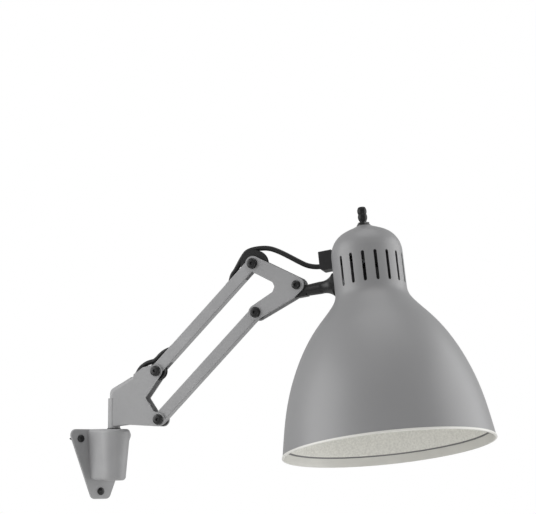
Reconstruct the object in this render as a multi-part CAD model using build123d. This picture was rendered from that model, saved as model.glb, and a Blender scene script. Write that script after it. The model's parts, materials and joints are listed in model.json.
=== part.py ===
from build123d import *
from math import acos, atan2, cos, hypot, pi, radians, sin, sqrt, tan
import os

# Articulating wall lamp: a wall bracket, a swivelling post, a parallelogram arm and a ventilated bell shade.
# Millimetres, +Z up.  The origin lies on the wall, in the middle of the wall plate.  The wall is the plane
# Y = 0 and the lamp reaches out towards -Y.  The arm is modelled in its own frame (X outwards, Z up, origin
# on the post's axis) and swivelled into place.  The head's frame has X on the neck's axis, pointing away
# from the neck, and Z on the shade's axis.

# ---- fits and clearances ----------------------------------------------------------------------------
RUN = 0.05             # radial running clearance of a shaft in its bush
SEAT = 0.02            # radial clearance of a piece that is pressed or screwed home
SIDE = 0.05            # side clearance at each face of a washer
EASE = 0.3             # clearance round a piece that passes through a plain hole
FREE_PIVOT = 0.15      # radial clearance of the pivot that closes the parallelogram

# ---- pose at rest -----------------------------------------------------------------------------------
SWIVEL = 32.0          # arm turned from straight out of the wall towards +X
LIFT = 45.0            # bars above the horizontal
TILT = 8.27            # mouth of the shade swung away from the wall
ROLL = 6.5             # shade turned about the neck

# ---- wall plate -------------------------------------------------------------------------------------
PLATE_TOP_W = 104.0
PLATE_LOW_W = 28.0
PLATE_H = 96.0
PLATE_T = 3.0
PLATE_CORNER_R = 8.0
PLATE_EDGE = 0.6
SCREW_SPACING = 66.0   # the two upper wall screws
SCREW_TOP_Z = 35.0
SCREW_LOW_Z = -37.5
SCREW_SHANK_R = 2.2
SCREW_NECK_R = 2.0     # plain shank under the head, slimmer than the thread
SCREW_NECK_OUT = 1.0   # past the plate's back
SCREW_LENGTH = 32.0    # below the head
SCREW_POINT = 5.0
SCREW_HEAD_R = 5.3
SCREW_HEAD_H = 3.0
CROSS_W = 1.1          # cross recess

# ---- swivel socket ----------------------------------------------------------------------------------
POST_OUT = 36.0        # wall to the post's axis
SOCKET_TOP_R = 22.5
SOCKET_LOW_R = 16.5
SOCKET_TOP_Z = 48.0
SOCKET_LOW_Z = -22.0
SOCKET_TOP_ROUND = 5.0
SOCKET_LOW_ROUND = 5.0
CHAMBER_W = 16.0       # cable chamber under the post, open to the wall plate
CHAMBER_LOW_Z = -16.0
CHAMBER_TOP_Z = 6.0
CHAMBER_DEPTH = 9.0    # past the post's axis
SOCKET_SCREW_R = 2.5
SOCKET_SCREW_HEAD_R = 4.5
SOCKET_SCREW_HEAD_H = 1.4
SOCKET_SCREW_L = 14.0
SOCKET_SCREW_X = 12.0
SOCKET_SCREW_Z = (38.0, 18.0)

# ---- post -------------------------------------------------------------------------------------------
POST_R = 8.4
POST_BORE_R = 5.2
POST_TOP_Z = 90.0
SPIGOT_R = 7.0         # turned-down lower end that runs in the bushes
SPIGOT_FOOT = 2.0      # below the circlip
BUSH_WALL = 2.0
BUSH_LENGTH = 12.0
FLANGE_R = 9.4         # thrust flange of the upper bush
FLANGE_T = 1.2
LOW_BUSH_Z = 12.0      # bottom of the lower bush
CIRCLIP_T = 1.2
CIRCLIP_WALL = 2.2
CIRCLIP_DEPTH = 0.8    # groove in the spigot
CIRCLIP_GAP = 2.4

# ---- base fork --------------------------------------------------------------------------------------
SHEET = 2.0            # fork and elbow plates
INNER_GAP = 14.0       # between the two cheeks
COUPLER = 66.0         # distance between the upper and the lower pivot
LEAN = 4.0             # the lower pivot stands further out
BASE_PIVOT = (66.4, 126.3)
BASE_LUG_R = 9.2
FORK_LOW_Z = 52.0
FORK_WELD_X = 2.5      # where the cheeks start on the post
WEB_X = -4.7           # outside of the folded web above the post
WEB_CORNER_Z = 101.6   # where the back and the slant of the web would meet
WEB_END = (33.0, 122.0)
WEB_OPEN_X = 27.0      # the web stops here and the cable comes out
WEB_BEND_R = 9.0       # outside, between the back and the slant
WEB_FOLD_R = 6.5       # outside, between the web and the cheeks
CHEEK_STEP = (47.0, 131.5)
NOTCH = (51.0, 90.0)
NOTCH_LOW = (64.0, 71.5)
NOTCH_R = 1.5
FORK_HEEL = (21.5, 53.8)
SPACER_AT = (49.5, 80.5)
SPACER_R = 3.5
SPACER_PIN_R = 2.0

# ---- bars -------------------------------------------------------------------------------------------
BAR_LENGTH = 200.0     # pivot to pivot
BAR_H = 16.0
BAR_W = 12.8
BAR_WALL = 1.5
BAR_EDGE = 1.2
BAR_OFFSET = 1.5       # the section's middle lies above the pivot line
PIVOT_R = 3.0
BUSH_R = 4.5           # bar bush, outside
WASHER_R = 8.0
GUIDE_CUT = 23.0       # top and bottom wall of the upper bar cut back from each pivot
CABLE_IN_X = 31.0      # middle of the lower cable hole, from the base pivot
CABLE_OUT_X = 38.0     # middle of the upper cable hole, from the elbow pivot
GROMMET_L = 22.5
GROMMET_W = 9.0
GROMMET_WALL = 1.0
GROMMET_LIP = 0.25
ROLLER_R = 12.0        # cable roller at the base pivot
ROLLER_GROOVE = 1.0

# ---- elbow ------------------------------------------------------------------------------------------
HEAD_PIVOT = (62.6, -31.2)       # from the elbow's upper pivot
ELBOW_LUG_R = 10.2
HEAD_LUG_R = 10.6
ELBOW_TOP = (69.2, -21.6)
ELBOW_CHIN = (59.4, -48.5)
ELBOW_CHIN_R = 3.0
ELBOW_NOTCH = ((28.7, -26.2), (31.7, -32.0), (28.7, -39.3))
ELBOW_NOTCH_R = 3.5
ELBOW_EDGE = 0.4
SADDLE_R = 19.0
SADDLE_T = 9.2
SADDLE_HUB_R = 8.0
SADDLE_GROOVE = 2.0
SADDLE_CHORD = -4.0    # the half disc ends this far from its pivot
SADDLE_PIN_R = 2.0
SADDLE_PIN = (12.5, 1.0)         # from the elbow's upper pivot
GROOVE_EASE = 0.1

# ---- pivot hardware ---------------------------------------------------------------------------------
BOLT_HEAD_R = 7.2
BOLT_HEAD_H = 4.2
BOLT_HEAD_ROUND = 2.9
HEAD_BOLT_R = 6.0      # head of the bolt at the head pivot
HEX_SOCKET = 4.0       # across flats
HEX_DEPTH = 2.2
NUT_FLATS = 10.0
NUT_H = 6.0
NUT_CROWN = 1.5
BOLT_TIP = 1.0         # bolt past its nut

# ---- neck -------------------------------------------------------------------------------------------
NECK_REACH = 98.7      # head pivot to the shade's axis
NECK_DROP = 8.7        # neck axis below the head pivot
KNUCKLE_W = 13.0
KNUCKLE_R = 9.4        # about the head pivot
KNUCKLE_BACK = 6.0     # behind the head pivot
KNUCKLE_SHOULDER = 11.2          # round section starts here, clear of the plates
KNUCKLE_END = 13.8     # joint line, from the head pivot
NECK_R = 7.6
NECK_MID_R = 8.3
NECK_MID_X = 17.0      # from the joint line
NECK_LIP = 2.0         # flare's rim stands off the cap
NECK_FLARE_R = 16.0
NECK_BOLT_R = 4.0
NECK_BOLT_START = 4.5  # blind end of the bolt's thread, from the head pivot
NECK_BOLT_HEAD_R = 7.0
NECK_BOLT_HEAD_H = 5.0
NECK_SADDLE_T = 4.0
NECK_SADDLE_W = 24.0
WAVE_T = 2.0
WAVE_R = 7.5

# ---- shade, in the head's frame (z = 0 on the neck's axis) -------------------------------------------
SHADE_WALL = 1.0
SKIN_STEPS = 24        # points along the inside of a curved wall
CAP_R = 46.9
CAP_TOP_Z = 71.2
CAP_FLAT_R = 9.5
CAP_DOME = ((17.4, 67.3), (26.7, 63.0), (34.4, 58.4), (39.5, 53.4), (42.9, 48.2), (45.3, 42.6))
CAP_WALL_Z = 34.0
BELL_START_Z = -14.0
BELL_SHARES = ((0.0017, 0.0190), (0.0123, 0.0475), (0.1111, 0.1192), (0.3367, 0.2309), (0.6442, 0.4404),
               (0.8799, 0.7197))   # of the way from the neck's edge to the mouth: outwards, down
MOUTH_R = 136.0
MOUTH_Z = -224.5
LIP_SLOPE = 0.155      # outwards per millimetre down
LIP_H = 11.5
RIM_T = 0.7
RIM_OUT_H = 1.6        # hem over the lip's outside
RIM_IN_H = 11.0        # band on the lip's inside
SLOT_COUNT = 13
SLOT_PITCH = 20.0
SLOT_W = 4.2
SLOT_LENGTH = 40.3
SLOT_MID_Z = 5.9
SWITCH_HOLE_R = 5.2
REFLECTOR_T = 0.8
REFLECTOR_Z = -24.0
REFLECTOR_FLAT_R = 34.0
REFLECTOR_STEPS = ((-3.4, -2.4), (-3.8, -2.9), (-4.0, -2.1), (-4.3, -1.0))   # from the bell's last points
REFLECTOR_EDGE = (-5.0, 12.3)    # from the mouth's edge

# ---- lampholder and switch --------------------------------------------------------------------------
HANGER_W = 12.0
HANGER_T = 1.5
HANGER_Y = 11.0
HANGER_BOSS_R = 8.5
HANGER_BOSS_H = 3.0
HANGER_LOW_Z = 22.0
NIPPLE_R = 5.0
NIPPLE_BORE_R = 3.4
NIPPLE_IN = 4.0        # into the lampholder's cap
NIPPLE_NUT_R = 8.5
NIPPLE_NUT_H = 3.0
HOLDER_NECK_R = 9.0
HOLDER_SHOULDER_R = 17.0
HOLDER_R = 20.5
HOLDER_WALL = 2.2
HOLDER_SPLIT_Z = 2.0
HOLDER_LOW_Z = -36.0
HOLDER_FLANGE = 2.2
HOLDER_FLANGE_H = 3.0
SLEEVE_R = 13.3        # bulb thread, inside
SLEEVE_T = 0.8
SLEEVE_LENGTH = 24.0
SLEEVE_FOOT = 1.2
INSULATOR_T = 8.0
RIVET_R = 1.9
LEAD_R = 1.1
LEAD_X = 1.8
RING_R = 25.0
RING_H = 5.0
SWITCH_R = 9.5
SWITCH_H = 20.0
SWITCH_BUSH_R = 5.0
SWITCH_NUT_R = 9.3
SWITCH_NUT_H = 4.6
SWITCH_FLANGE_H = 1.4
STEM_R = 3.0
STEM_IN = 7.0
KNOB_R = 6.2
KNOB_WAIST_R = 5.3
KNOB_COLLAR_R = 4.2
KNOB_COLLAR_H = 2.6
KNOB_LOW_Z = 79.0
KNOB_TOP_Z = 97.5
KNOB_BORE = 10.0

# ---- strain relief ----------------------------------------------------------------------------------
RELIEF_LOW_Z = 21.0
RELIEF_TOP_Z = 47.5
RELIEF_OUT_X = 64.5    # from the shade's axis
RELIEF_W = 15.0
RELIEF_CHAMFER = 3.0
RELIEF_EDGE = 1.5
RELIEF_HOLE_Z = 28.2
RELIEF_SPIGOT_R = 5.0
RELIEF_SPIGOT_IN = 6.0
RELIEF_NUT_R = 8.0
RELIEF_NUT_H = 3.0

# ---- cable: its routes are straight runs joined by arcs ----------------------------------------------
CABLE_R = 3.4
WALL_HOLE_Z = -9.0
RUN_OUT = 8.2          # straight run at a place where two stretches meet
WALL_ROUTE = [(0, 0, -9), (0, -21.4, -9), (0, -30.6, -3.6), (0, -36, 5.6), (0, -36, 16.5)]
FORK_ROUTE = [(0, 0, 16.5), (0, 0, 91.5), (8, 0, 101.6), (20, 0, 107.4), (31, 0, 114.7), (38.5, 0, 130.3),
              (47.5, 0, 136.6), (55, 0, 139.2)]
BAR_ROUTE = [(14.7, 0, 13.2), (26.4, 0, 13.3), (43.1, 0, 1.6), (70, 0, 0.9), (98, 0, 1.7), (125, 0, 0.9),
             (149.9, 0, 1.6), (166.6, 0, 13.3), (174.5, 0, 13.8), (181, 0, 15.6)]
ELBOW_RUN_IN = 18.6
ELBOW_ROUTE = [(199.57, 0, 286.43), (211.5, 0, 288.9), (229, 0, 288.8), (245.5, 0, 282.2)]
NECK_ROUTE = [(262, 0, 273.4), (272.5, 0.5, 267.6), (283.5, 1.9, 262.2)]
HEAD_ROUTE = [(-67.6, 0, 28.2), (-20, 0, 28.2), (-8.3, 0, 45)]

os.makedirs("parts", exist_ok=True)


# ---- derived places ---------------------------------------------------------------------------------
def plus(a, b, scale=1.0):
    """The point a moved by b times scale."""
    return (a[0] + b[0] * scale, a[1] + b[1] * scale)


def between(a, b, share):
    """The point at a share of the way from a to b; a share over 1 lies beyond b."""
    return tuple(p + (q - p) * share for p, q in zip(a, b))


def placed(frame, point):
    """A point of a frame, in the frame around it."""
    return tuple((frame * Location(point)).position)


HALF_GAP = INNER_GAP / 2
HALF_OUT = HALF_GAP + SHEET
RISE = (cos(radians(LIFT)), sin(radians(LIFT)))
LEAN_STEP = (COUPLER * sin(radians(LEAN)), -COUPLER * cos(radians(LEAN)))
BASE_LOW = plus(BASE_PIVOT, LEAN_STEP)
ELBOW_UP = plus(BASE_PIVOT, RISE, BAR_LENGTH)
ELBOW_LOW = plus(BASE_LOW, RISE, BAR_LENGTH)
HEAD_AT = plus(ELBOW_UP, HEAD_PIVOT)
SADDLE_PIN_AT = plus(ELBOW_UP, SADDLE_PIN)

POST_AXIS = Location((0, -POST_OUT, 0))
ARM = Location((0, -POST_OUT, 0), (0, 0, SWIVEL - 90))
NECK = ARM * Location((HEAD_AT[0], 0, HEAD_AT[1])) * Location((0, 0, 0), (0, -TILT, 0))
HEAD_IN_ARM = (Location((HEAD_AT[0], 0, HEAD_AT[1])) * Location((0, 0, 0), (0, -TILT, 0))
               * Location((NECK_REACH, 0, -NECK_DROP)) * Location((0, 0, 0), (-ROLL, 0, 0)))
HEAD = ARM * HEAD_IN_ARM
BAR_IN_ARM = Location((BASE_PIVOT[0], 0, BASE_PIVOT[1])) * Location((0, 0, 0), (0, -LIFT, 0))

SCREW_PLACES = ((-SCREW_SPACING / 2, SCREW_TOP_Z), (SCREW_SPACING / 2, SCREW_TOP_Z), (0, SCREW_LOW_Z))
SOCKET_SCREW_PLACES = [(side * SOCKET_SCREW_X, z) for z in SOCKET_SCREW_Z for side in (-1, 1)]
BUSH_OUT_R = SPIGOT_R + RUN + BUSH_WALL
SHOULDER_Z = SOCKET_TOP_Z + FLANGE_T
CIRCLIP_Z = LOW_BUSH_Z - CIRCLIP_T - SIDE
BELL = [(CAP_R + out * (MOUTH_R - CAP_R), BELL_START_Z + down * (MOUTH_Z - BELL_START_Z))
        for out, down in BELL_SHARES]
REFLECTOR_BELL = [plus(point, step) for point, step in zip(BELL[-len(REFLECTOR_STEPS):], REFLECTOR_STEPS)]
REFLECTOR_MOUTH = plus((MOUTH_R, MOUTH_Z), REFLECTOR_EDGE)
NECK_WALL_X = NECK_REACH - CAP_R + SHADE_WALL
NECK_HEAD_X = NECK_WALL_X + NECK_SADDLE_T + WAVE_T + 3 * SIDE
BOSS_TOP_Z = CAP_TOP_Z - SHADE_WALL
HANGER_TOP_Z = BOSS_TOP_Z - HANGER_BOSS_H
SWITCH_TOP_Z = HANGER_TOP_Z - HANGER_T
HOLDER_TOP_Z = HANGER_LOW_Z - NIPPLE_NUT_H
INSULATOR_Z = HOLDER_SPLIT_Z - INSULATOR_T
STUD_TOP_Z = CAP_TOP_Z + SWITCH_NUT_H


# ---- helpers ----------------------------------------------------------------------------------------
def save(name, shape, frame=None):
    """Place one shape, or a list of shapes, by a frame and write it under its node's name."""
    shapes = shape if isinstance(shape, list) else [shape]
    solids = [solid for one in shapes for solid in (one if frame is None else frame * one).solids()]
    export_step(solids[0] if len(solids) == 1 else Compound(children=solids), f"parts/{name}.step")
    volume = sum(solid.volume for solid in solids) / 1000
    print(f"{name}: {len(solids)} solid(s), {volume:.2f} cm3, valid {all(s.is_valid for s in solids)}")


def slab(sketch, y_low, y_high):
    """Extrude a sketch drawn in (outwards, up) from y_low to y_high across the arm."""
    return extrude(Plane.XZ.offset(-y_high) * sketch, y_high - y_low)


def across(at, radius, y_low, y_high):
    """A cylinder across the arm at a point of its plane."""
    return Pos(at[0], (y_low + y_high) / 2, at[1]) * Rot(90, 0, 0) * Cylinder(radius, y_high - y_low)


def upright(radius, z_low, z_high, x=0.0, y=0.0):
    """A cylinder along Z."""
    return Pos(x, y, (z_low + z_high) / 2) * Cylinder(radius, z_high - z_low)


def lying(radius, x_low, x_high, z=0.0):
    """A cylinder along X."""
    return Pos((x_low + x_high) / 2, 0, z) * Rot(0, 90, 0) * Cylinder(radius, x_high - x_low)


def ring(outer, inner, z_low, z_high):
    """A plain ring along Z."""
    return upright(outer, z_low, z_high) - upright(inner, z_low - 1, z_high + 1)


def outline(*points):
    """A closed face through points of the sketch plane."""
    return make_face(Polyline(*points, close=True))


def disc(at, radius):
    """A round face at a point of the sketch plane."""
    return Pos(at[0], at[1]) * Circle(radius)


def touch(centre, radius, point, side):
    """Where a tangent from a point meets a circle; side 1 is counter-clockwise of the line to the point."""
    reach = (point[0] - centre[0], point[1] - centre[1])
    turn = atan2(reach[1], reach[0]) + side * acos(radius / hypot(*reach))
    return plus(centre, (cos(turn), sin(turn)), radius)


def soften(sketch, point, radius):
    """Round the corner of a sketch that lies nearest to a point."""
    corner = sketch.vertices().sort_by_distance(Vector(point[0], point[1], 0))[0]
    return fillet(corner, radius)


def hexagon(flats, at=(0.0, 0.0)):
    """A hexagon across its flats."""
    return Pos(at[0], at[1]) * RegularPolygon(flats / sqrt(3), 6)


def spun(profile):
    """Spin a closed profile of edges drawn as (radius, height) about Z."""
    return revolve(Plane.XZ * make_face(profile), Axis.Z)


def cable(name, route, frame):
    """Save a round cable along straight runs; each arc is 0.45 of its shorter run over tan(turn / 2)."""
    radii = []
    for before, here, after in zip(route, route[1:], route[2:]):
        run_in = Vector(*here) - Vector(*before)
        run_out = Vector(*after) - Vector(*here)
        turn = radians(run_in.get_angle(run_out))
        radii.append(0.45 * min(run_in.length, run_out.length) / tan(turn / 2))
    path = FilletPolyline(*route, radius=radii)
    tube = sweep(Plane(origin=path @ 0, z_dir=path % 0) * Circle(CABLE_R), path)
    share = tube.volume / (pi * CABLE_R ** 2 * path.length)
    print(f"{name}: {path.length:.1f} mm, arcs {', '.join(f'{r:.0f}' for r in radii)}, volume share {share:.4f}")
    save(name, tube, frame)


# ---- wall bracket -----------------------------------------------------------------------------------
def wall_plate():
    """Flat plate, wide at the top, with the wall screws', the socket screws' and the cable's holes."""
    half_h = PLATE_H / 2
    top = PLATE_TOP_W / 2
    low = PLATE_LOW_W / 2
    face = outline((-top, half_h), (top, half_h), (low, -half_h), (-low, -half_h))
    face = fillet(face.vertices(), PLATE_CORNER_R)
    plate = slab(face, -PLATE_T, 0)
    plate = chamfer(plate.faces().sort_by(Axis.Y)[0].outer_wire().edges(), PLATE_EDGE)
    for at in SCREW_PLACES:
        plate -= across(at, SCREW_SHANK_R + EASE, -PLATE_T - 1, 1)
    for at in SOCKET_SCREW_PLACES:
        plate -= across(at, SOCKET_SCREW_R + SEAT, -PLATE_T - 1, 1)
        plate -= across(at, SOCKET_SCREW_HEAD_R + EASE, -SOCKET_SCREW_HEAD_H - 0.2, 1)
    return plate - across((0, WALL_HOLE_Z), CABLE_R + EASE, -PLATE_T - 1, 1)


def wall_screw(at):
    """Dome-headed wood screw with a cross recess, its shank behind the plate."""
    head = across(at, SCREW_HEAD_R, -PLATE_T - SCREW_HEAD_H, -PLATE_T)
    rim = head.edges().filter_by(GeomType.CIRCLE).sort_by(Axis.Y)[0]
    head = fillet(rim, SCREW_HEAD_H * 0.75)
    recess = Box(SCREW_HEAD_R, SCREW_HEAD_H, CROSS_W) + Box(CROSS_W, SCREW_HEAD_H, SCREW_HEAD_R)
    head -= Pos(at[0], -PLATE_T - SCREW_HEAD_H, at[1]) * recess
    tip = SCREW_LENGTH - PLATE_T
    shank = across(at, SCREW_NECK_R, -PLATE_T, SCREW_NECK_OUT)
    shank += across(at, SCREW_SHANK_R, SCREW_NECK_OUT, tip - SCREW_POINT)
    point = Pos(at[0], tip - SCREW_POINT / 2, at[1]) * Rot(-90, 0, 0) * Cone(SCREW_SHANK_R, 0.4, SCREW_POINT)
    return head + shank + point


def socket_section(radius):
    """U-shaped section of the socket: flat sides from the plate, round in front of the post."""
    sides = Polyline((radius, -POST_OUT), (radius, -PLATE_T), (-radius, -PLATE_T), (-radius, -POST_OUT))
    nose = ThreePointArc((-radius, -POST_OUT), (0, -POST_OUT - radius), (radius, -POST_OUT))
    return make_face(sides + nose)


def swivel_socket():
    """Tapered cast boss with the bush bore, the cable chamber and the screw holes."""
    body = loft([Plane.XY.offset(SOCKET_LOW_Z) * socket_section(SOCKET_LOW_R),
                 Plane.XY.offset(SOCKET_TOP_Z) * socket_section(SOCKET_TOP_R)], ruled=True)
    front = -PLATE_T - 0.5
    top = body.faces().sort_by(Axis.Z)[-1].edges().filter_by(lambda e: e.center().Y < front)
    body = fillet(top, SOCKET_TOP_ROUND)
    low = body.faces().sort_by(Axis.Z)[0].edges().filter_by(lambda e: e.center().Y < front)
    body = fillet(low, SOCKET_LOW_ROUND)
    body -= upright(BUSH_OUT_R + SEAT, CHAMBER_TOP_Z - 1, SOCKET_TOP_Z + 1, 0, -POST_OUT)
    depth = POST_OUT + CHAMBER_DEPTH - PLATE_T
    height = CHAMBER_TOP_Z - CHAMBER_LOW_Z
    body -= Pos(0, -PLATE_T - depth / 2, CHAMBER_LOW_Z + height / 2) * Box(CHAMBER_W, depth, height)
    for at in SOCKET_SCREW_PLACES:
        body -= across(at, SOCKET_SCREW_R + SEAT, -PLATE_T - SOCKET_SCREW_L, -PLATE_T + 1)
    return body


def socket_screw(at):
    """Flat-headed screw from behind the plate into the socket."""
    head = across(at, SOCKET_SCREW_HEAD_R, -SOCKET_SCREW_HEAD_H - 0.2, -0.2)
    return head + across(at, SOCKET_SCREW_R, -SOCKET_SCREW_L, -SOCKET_SCREW_HEAD_H)


def upper_post_bush():
    """Upper bush, with the thrust flange that the post stands on."""
    bush = ring(BUSH_OUT_R, SPIGOT_R + RUN, SOCKET_TOP_Z - BUSH_LENGTH, SOCKET_TOP_Z)
    return bush + ring(FLANGE_R, SPIGOT_R + RUN, SOCKET_TOP_Z, SHOULDER_Z)


# ---- post and base fork -----------------------------------------------------------------------------
def swivel_post():
    """Bored post with a turned-down spigot and a circlip groove under the lower bush."""
    foot = CIRCLIP_Z - SPIGOT_FOOT
    post = upright(SPIGOT_R, foot, SHOULDER_Z + 1) + upright(POST_R, SHOULDER_Z + SIDE, POST_TOP_Z)
    groove_low = CIRCLIP_Z - SIDE
    groove_top = CIRCLIP_Z + CIRCLIP_T + SIDE
    post -= ring(SPIGOT_R + 2, SPIGOT_R - CIRCLIP_DEPTH, groove_low, groove_top)
    return post - upright(POST_BORE_R, 0, POST_TOP_Z + 1)


def post_circlip():
    """Split ring that keeps the post in its socket."""
    inner = SPIGOT_R - CIRCLIP_DEPTH + SEAT
    clip = ring(inner + CIRCLIP_WALL, inner, CIRCLIP_Z, CIRCLIP_Z + CIRCLIP_T)
    return clip - Pos(SPIGOT_R, 0, CIRCLIP_Z) * Box(2 * CIRCLIP_WALL + 2, CIRCLIP_GAP, 6)


def fork_cheek():
    """Outline of the fork: web at the back, a lug at each pivot and a notch between them."""
    up_in = touch(BASE_PIVOT, BASE_LUG_R, CHEEK_STEP, -1)
    up_out = touch(BASE_PIVOT, BASE_LUG_R, NOTCH, 1)
    low_in = touch(BASE_LOW, BASE_LUG_R, NOTCH_LOW, -1)
    low_out = touch(BASE_LOW, BASE_LUG_R, FORK_HEEL, 1)
    face = outline((FORK_WELD_X, FORK_LOW_Z), (FORK_WELD_X, POST_TOP_Z), (WEB_X, POST_TOP_Z),
                   (WEB_X, WEB_CORNER_Z), WEB_END, CHEEK_STEP, up_in, BASE_PIVOT, up_out, NOTCH,
                   NOTCH_LOW, low_in, BASE_LOW, low_out, FORK_HEEL)
    face = face + disc(BASE_PIVOT, BASE_LUG_R) + disc(BASE_LOW, BASE_LUG_R)
    return soften(face, NOTCH, NOTCH_R)


def fold_block(inset, half_width):
    """Long prism under the web, moved inwards by an inset, with its corner and its two folds rounded."""
    slope = atan2(WEB_END[1] - WEB_CORNER_Z, WEB_END[0] - WEB_X)
    back = WEB_X + inset
    corner_z = WEB_CORNER_Z + inset * tan(slope) - inset / cos(slope)
    far = 3 * BASE_PIVOT[0]
    far_z = corner_z + (far - back) * tan(slope)
    face = outline((back, 0), (back, corner_z), (far, far_z), (far, 0))
    face = soften(face, (back, corner_z), WEB_BEND_R - inset)
    block = slab(face, -half_width, half_width)
    low = 1.0
    folds = block.edges().filter_by(lambda e: abs(abs(e.center().Y) - half_width) < 0.01
                                    and e.center().Z > low and e.center().X < far - 1)
    return fillet(folds, WEB_FOLD_R - inset)


def base_fork():
    """Sheet folded into a U, welded to the post, open towards the arm."""
    far = 3 * BASE_PIVOT[0]
    high = 3 * BASE_PIVOT[1]
    past_web = Pos(WEB_END[0] + far / 2, 0, high / 2) * Box(far, 2 * HALF_OUT, high)
    past_fold = Pos(WEB_OPEN_X + far / 2, 0, high / 2) * Box(far, INNER_GAP, high)
    fork = slab(fork_cheek(), -HALF_OUT, HALF_OUT) & (fold_block(0, HALF_OUT) + past_web)
    fork -= fold_block(SHEET, HALF_GAP)
    fork -= past_fold
    fork -= upright(POST_R + SEAT, 0, POST_TOP_Z)
    for at in (BASE_PIVOT, BASE_LOW):
        fork -= across(at, PIVOT_R + SEAT, -HALF_OUT - 1, HALF_OUT + 1)
    return fork - across(SPACER_AT, SPACER_PIN_R + SEAT, -HALF_OUT - 1, HALF_OUT + 1)


def fork_spacer():
    """Sleeve that keeps the cheeks apart, with a riveted pin through both."""
    return across(SPACER_AT, SPACER_R, -HALF_GAP, HALF_GAP) + across(SPACER_AT, SPACER_PIN_R, -HALF_OUT, HALF_OUT)


# ---- pivot hardware ---------------------------------------------------------------------------------
def pivot_bolt(at, head_r):
    """Button-head bolt across the plates: domed head with a hexagon recess on the near side."""
    crown = -HALF_OUT - BOLT_HEAD_H
    head = across(at, head_r, crown, -HALF_OUT)
    head = fillet(head.edges().filter_by(GeomType.CIRCLE).sort_by(Axis.Y)[0], BOLT_HEAD_ROUND)
    head -= slab(hexagon(HEX_SOCKET, at), crown - 1, crown + HEX_DEPTH)
    return head + across(at, PIVOT_R, -HALF_OUT, HALF_OUT + NUT_H + BOLT_TIP)


def pivot_nut(at):
    """Hexagon nut with a round crown on the far side."""
    body = slab(hexagon(NUT_FLATS, at), HALF_OUT, HALF_OUT + NUT_H - NUT_CROWN)
    crown = across(at, NUT_FLATS / 2 - 0.6, HALF_OUT, HALF_OUT + NUT_H)
    return body + crown - across(at, PIVOT_R + SEAT, HALF_OUT - 1, HALF_OUT + NUT_H + 1)


def washers(at, width):
    """The two thin washers between a piece of a given width and its plates."""
    inner = width / 2 + SIDE
    outer = HALF_GAP - SIDE
    pair = []
    for low, high in ((inner, outer), (-outer, -inner)):
        pair.append(across(at, WASHER_R, low, high) - across(at, PIVOT_R + SEAT, low - 1, high + 1))
    return pair


# ---- bars, in the bar's frame: X along the bar, origin on its lower pivot ----------------------------
def bar_frame(pivot):
    """Frame of a bar that rises from a pivot."""
    return ARM * Location((pivot[0], 0, pivot[1])) * Location((0, 0, 0), (0, -LIFT, 0))


def bar():
    """Rectangular tube whose two sides have round ends, with a bush hole at each pivot."""
    middle = Pos(BAR_LENGTH / 2, 0, BAR_OFFSET)
    tube = middle * Box(BAR_LENGTH + 2 * BAR_H, BAR_W, BAR_H)
    tube = fillet(tube.edges().filter_by(Axis.X), BAR_EDGE)
    tube -= middle * Box(BAR_LENGTH + 3 * BAR_H, BAR_W - 2 * BAR_WALL, BAR_H - 2 * BAR_WALL)
    side = Pos(BAR_LENGTH / 2, BAR_OFFSET) * Rectangle(BAR_LENGTH, BAR_H)
    side = side + disc((0, BAR_OFFSET), BAR_H / 2) + disc((BAR_LENGTH, BAR_OFFSET), BAR_H / 2)
    tube = tube & slab(side, -BAR_W, BAR_W)
    for x in (0, BAR_LENGTH):
        tube -= across((x, 0), BUSH_R + SEAT, -BAR_W, BAR_W)
    return tube


def hole_block(x_mid, shrink, z_low, z_high):
    """Block with rounded corners the size of a cable hole, made smaller by a wall."""
    block = Box(GROMMET_L - 2 * shrink, GROMMET_W - 2 * shrink, z_high - z_low)
    block = fillet(block.edges().filter_by(Axis.Z), GROMMET_W / 2 - shrink - 0.2)
    return Pos(x_mid, 0, (z_low + z_high) / 2) * block


def upper_bar():
    """Bar that carries the cable: its walls cut back round the cable guides, and two cable holes."""
    tube = bar()
    top = BAR_OFFSET + BAR_H / 2
    for end, way in ((0, 1), (BAR_LENGTH, -1)):
        x_mid = end + way * (GUIDE_CUT - BAR_H) / 2
        tube -= Pos(x_mid, 0, 0) * Box(GUIDE_CUT + BAR_H, BAR_W - 2 * BAR_WALL, 4 * BAR_H)
    for x_mid in HOLE_PLACES:
        tube -= hole_block(x_mid, 0, top - 2 * BAR_WALL, top + BAR_WALL)
    return tube


HOLE_PLACES = (CABLE_IN_X, BAR_LENGTH - CABLE_OUT_X)


def bar_grommet(x_mid):
    """Rubber grommet in a cable hole of the upper bar."""
    top = BAR_OFFSET + BAR_H / 2
    body = hole_block(x_mid, SEAT, top - BAR_WALL, top) + hole_block(x_mid, -GROMMET_WALL, top, top + GROMMET_LIP)
    return body - hole_block(x_mid, GROMMET_WALL, top - 2 * BAR_WALL, top + 2)


def bar_bush(x, clearance=RUN):
    """Spacer bush through both sides of a bar."""
    half = BAR_W / 2 + SIDE / 2
    return across((x, 0), BUSH_R, -half, half) - across((x, 0), PIVOT_R + clearance, -half - 1, half + 1)


def cable_roller():
    """Grooved roller on the upper bar's lower bush."""
    body = across((0, 0), ROLLER_R, -SADDLE_T / 2, SADDLE_T / 2)
    body -= Rot(90, 0, 0) * Torus(ROLLER_R + CABLE_R - ROLLER_GROOVE, CABLE_R + GROOVE_EASE)
    return body - across((0, 0), BUSH_R + RUN, -SADDLE_T, SADDLE_T)


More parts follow.
